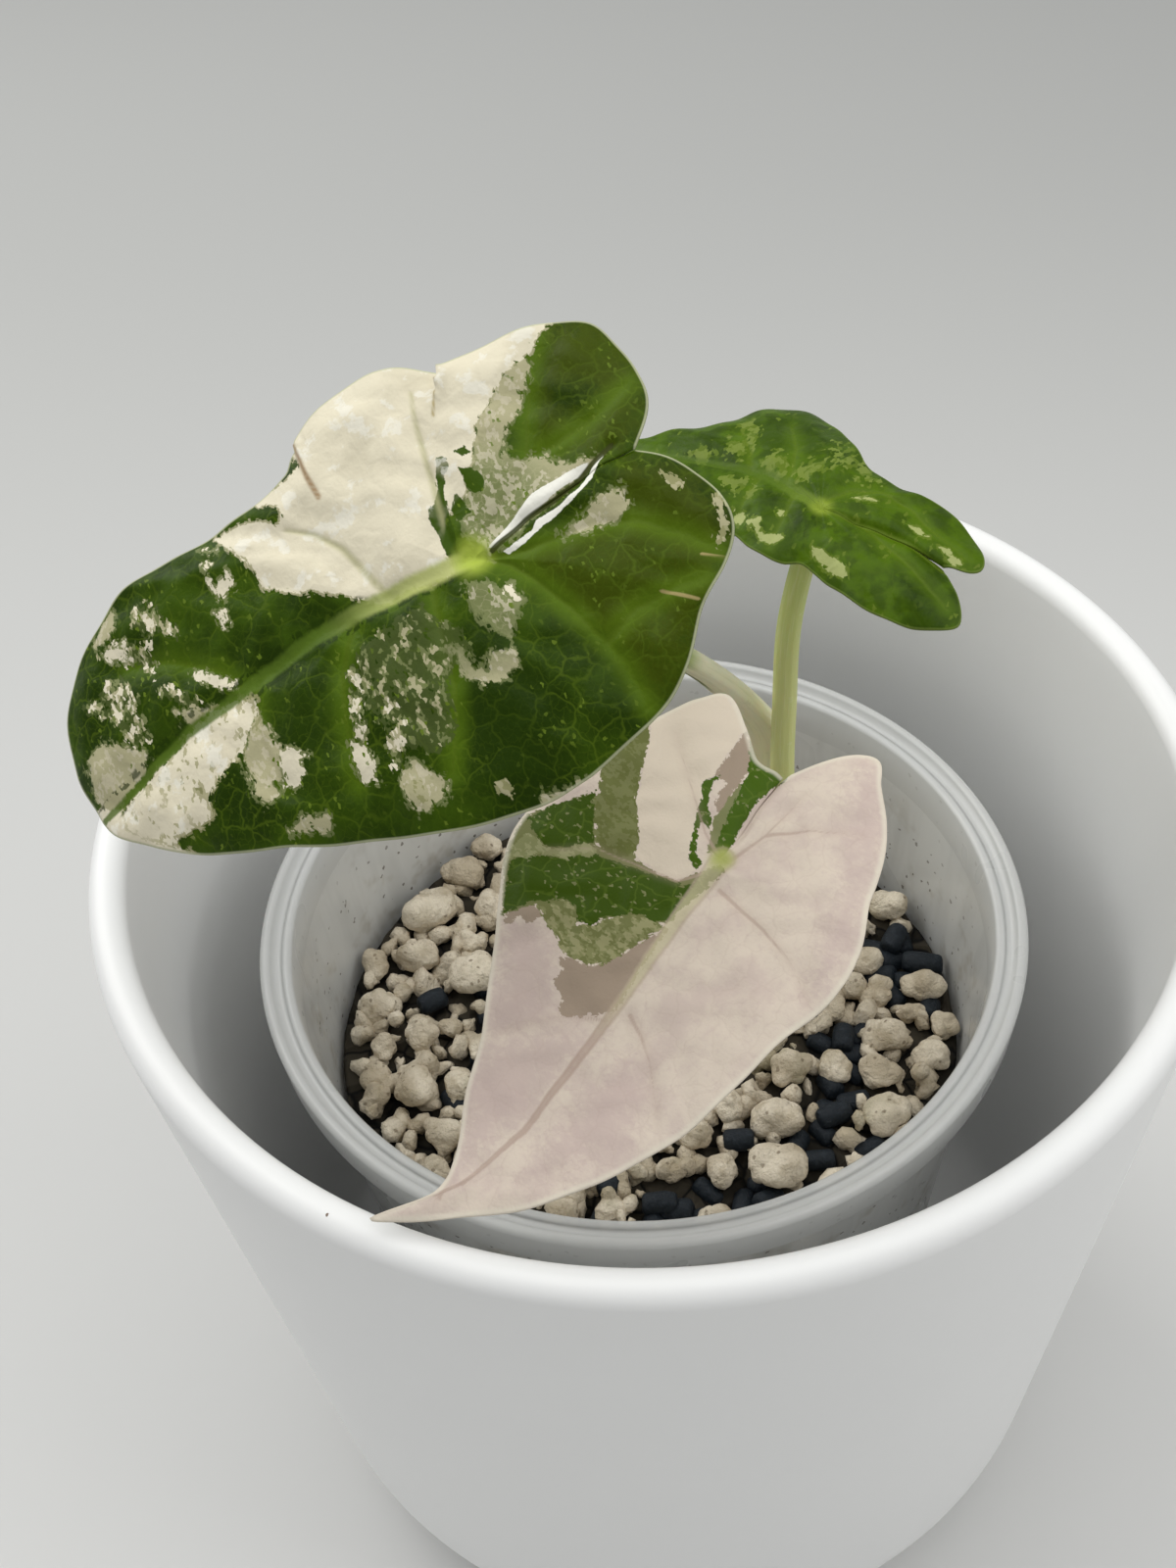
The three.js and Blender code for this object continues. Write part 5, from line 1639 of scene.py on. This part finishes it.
def makeStalk(name, stalk, material):
    sides, perPoint = 36, 14
    knots = np.arange(len(stalk["path"]))
    place = np.linspace(0, knots[-1], knots[-1] * perPoint + 1)
    value = lambda numbers: through(np.column_stack([knots, numbers]), place)
    centre = np.column_stack([value(axis) for axis in np.array(stalk["path"], float).T])
    tangent = np.gradient(centre, axis=0)
    tangent /= np.linalg.norm(tangent, axis=1)[:, None]
    openSide = (-0.35, -0.85, 0.3)                     # the way the sheath's furrow faces
    sideways = np.cross(tangent, openSide)
    sideways /= np.linalg.norm(sideways, axis=1)[:, None]
    outward = np.cross(sideways, tangent)
    wide, deep, groove = value(stalk["width"]), value(stalk["depth"]), value(stalk["groove"])
    run = np.concatenate([[0], np.cumsum(np.linalg.norm(np.diff(centre, axis=0), axis=1))])
    angle = 2 * math.pi * np.arange(sides) / sides
    furrows = 1 + 0.02 * np.cos(9 * angle) + 0.012 * np.cos(14 * angle + 1)
    dent = np.exp(-((angle - math.pi / 2) / 0.62) ** 2)
    points, fields = [], []
    for i in range(len(place)):
        ridge = furrows * (1 - groove[i] * dent) * 0.97
        x = wide[i] * np.cos(angle) * ridge
        y = deep[i] * np.sin(angle) * ridge
        points.append(centre[i] + x[:, None] * sideways[i] + y[:, None] * outward[i])
        fields.append(np.column_stack([np.cos(angle), np.sin(angle), np.full(sides, run[i])]))
    points, fields = np.concatenate(points), np.concatenate(fields)
    rows = len(place)
    faces = [(i * sides + j, i * sides + (j + 1) % sides, (i + 1) * sides + (j + 1) % sides,
              (i + 1) * sides + j) for i in range(rows - 1) for j in range(sides)]
    faces = [face[::-1] for face in faces]
    faces += [tuple(range(sides)), tuple((rows - 1) * sides + j for j in range(sides))[::-1]]
    piece = newPiece("stalk_" + name, points, faces, material)
    addField(piece, "stalkPlace", fields, "FLOAT_VECTOR")
    addField(piece, "stalkRun", np.repeat(run / run[-1], sides))
    stand(piece, stalk["slot"], "petiole_" + name)


def stalkFinish(stalk):
    # Long soft streaks, and a change of colour from the foot to the blade.
    material, draw, shader = newFinish(stalk["finish"], Specular_IOR_Level=0.3,
                                       Subsurface_Weight=0.15, Subsurface_Scale=0.002)
    place = draw.attribute("stalkPlace", "Vector")
    run = draw.attribute("stalkRun")
    colour = draw.tint(run.ease(0.05, 0.35), stalk["foot"], stalk["body"])
    colour = draw.tint(run.ease(0.55, 0.98), colour, stalk["top"])
    stretched = draw.node("ShaderNodeVectorMath", {"operation": "MULTIPLY"},
                          {0: place, 1: (5, 5, 0.14)})
    threads = draw.noise(stretched, 1.3, 4, 0.6)
    colour = draw.tint(threads.ease(0.45, 0.75) * 0.5, colour, stalk["streak"])
    stripe = stalk.get("stripe")
    if stripe:
        low, high, start = stripe["low"], stripe["high"], stripe["start"]
        side = draw.node("ShaderNodeSeparateXYZ", {}, {0: place}, "X")
        uneven = side + (draw.noise(stretched, 0.7, 3) - 0.5) * 0.5
        band = uneven.ease(low, low + 0.12) * (1 - uneven.ease(high, high + 0.12))
        colour = draw.tint(band * run.ease(start, start + 0.05) * 0.92, colour,
                           stripe["colour"])
        colour = draw.tint((1 - side.ease(-0.97, -0.8)) * 0.6, colour, stripe["edge"])
        fresh = uneven.ease(0.3, 0.5) * run.ease(start + 0.08, start + 0.13)
        colour = draw.tint(fresh * 0.8, colour, stripe["fresh"])
    specks = draw.cells(draw.shaken(place, 2, 0.4), 2.4) > 0.985
    colour = draw.tint(specks * 0.35, colour, stalk["streak"])
    feed(draw, shader, colour, 0.36 + 0.16 * threads, threads, 0.00015, 0.6)
    return material


for name, stalk in stalks.items():
    makeStalk(name, stalk, stalkFinish(stalk))
print("stalks made")

# The short stem, with rings of old leaf scars.
stemBase = {
    "centre": fill["stemCentre"],
    "bedTop": fill["bedTop"],
    "radius": 6.2,
    "top": 88,
    "bark": (0.30, 0.27, 0.13),
    "scar": (0.13, 0.085, 0.04),
    "skin": (0.55, 0.50, 0.32),
}


def stemFinish(setup):
    material, draw, shader = newFinish("leafScars", Specular_IOR_Level=0.3)
    place = draw.place()
    flat = draw.node("ShaderNodeVectorMath", {"operation": "MULTIPLY"},
                     {0: place, 1: (0.25, 0.25, 1.6)})
    rings = draw.noise(flat, 900, 4, 0.6)
    colour = draw.tint(rings.ease(0.42, 0.6), setup["scar"], setup["bark"])
    colour = draw.tint(draw.noise(place, 420, 3, 0.6).ease(0.52, 0.66) * 0.8, colour,
                       setup["skin"])
    feed(draw, shader, colour, 0.55 + 0.25 * rings, rings, 0.0004, 0.8)
    return material


def makeStem(setup):
    low, radius = setup["bedTop"] + 0.3, setup["radius"]
    profile = [(0, low), (radius - 0.3, low), (radius, low + 0.2)]
    for step in np.linspace(0, 1, 23)[1:-1]:
        swell = 0.32 * abs(math.sin(3 * math.pi * step)) - 0.9 * step**3
        profile.append((radius - 0.1 + swell, low + step * (setup["top"] - low)))
    profile += [(radius - 1.6, setup["top"] - 0.05), (0, setup["top"])]
    stem = turned("stem_stub", evenly(profile, 0.5), stemFinish(setup), setup["centre"],
                  ripple=0.55, rippleSize=2.4, segments=96)
    stand(stem, "stem", "stem_base")


makeStem(stemBase)
print("stem made")
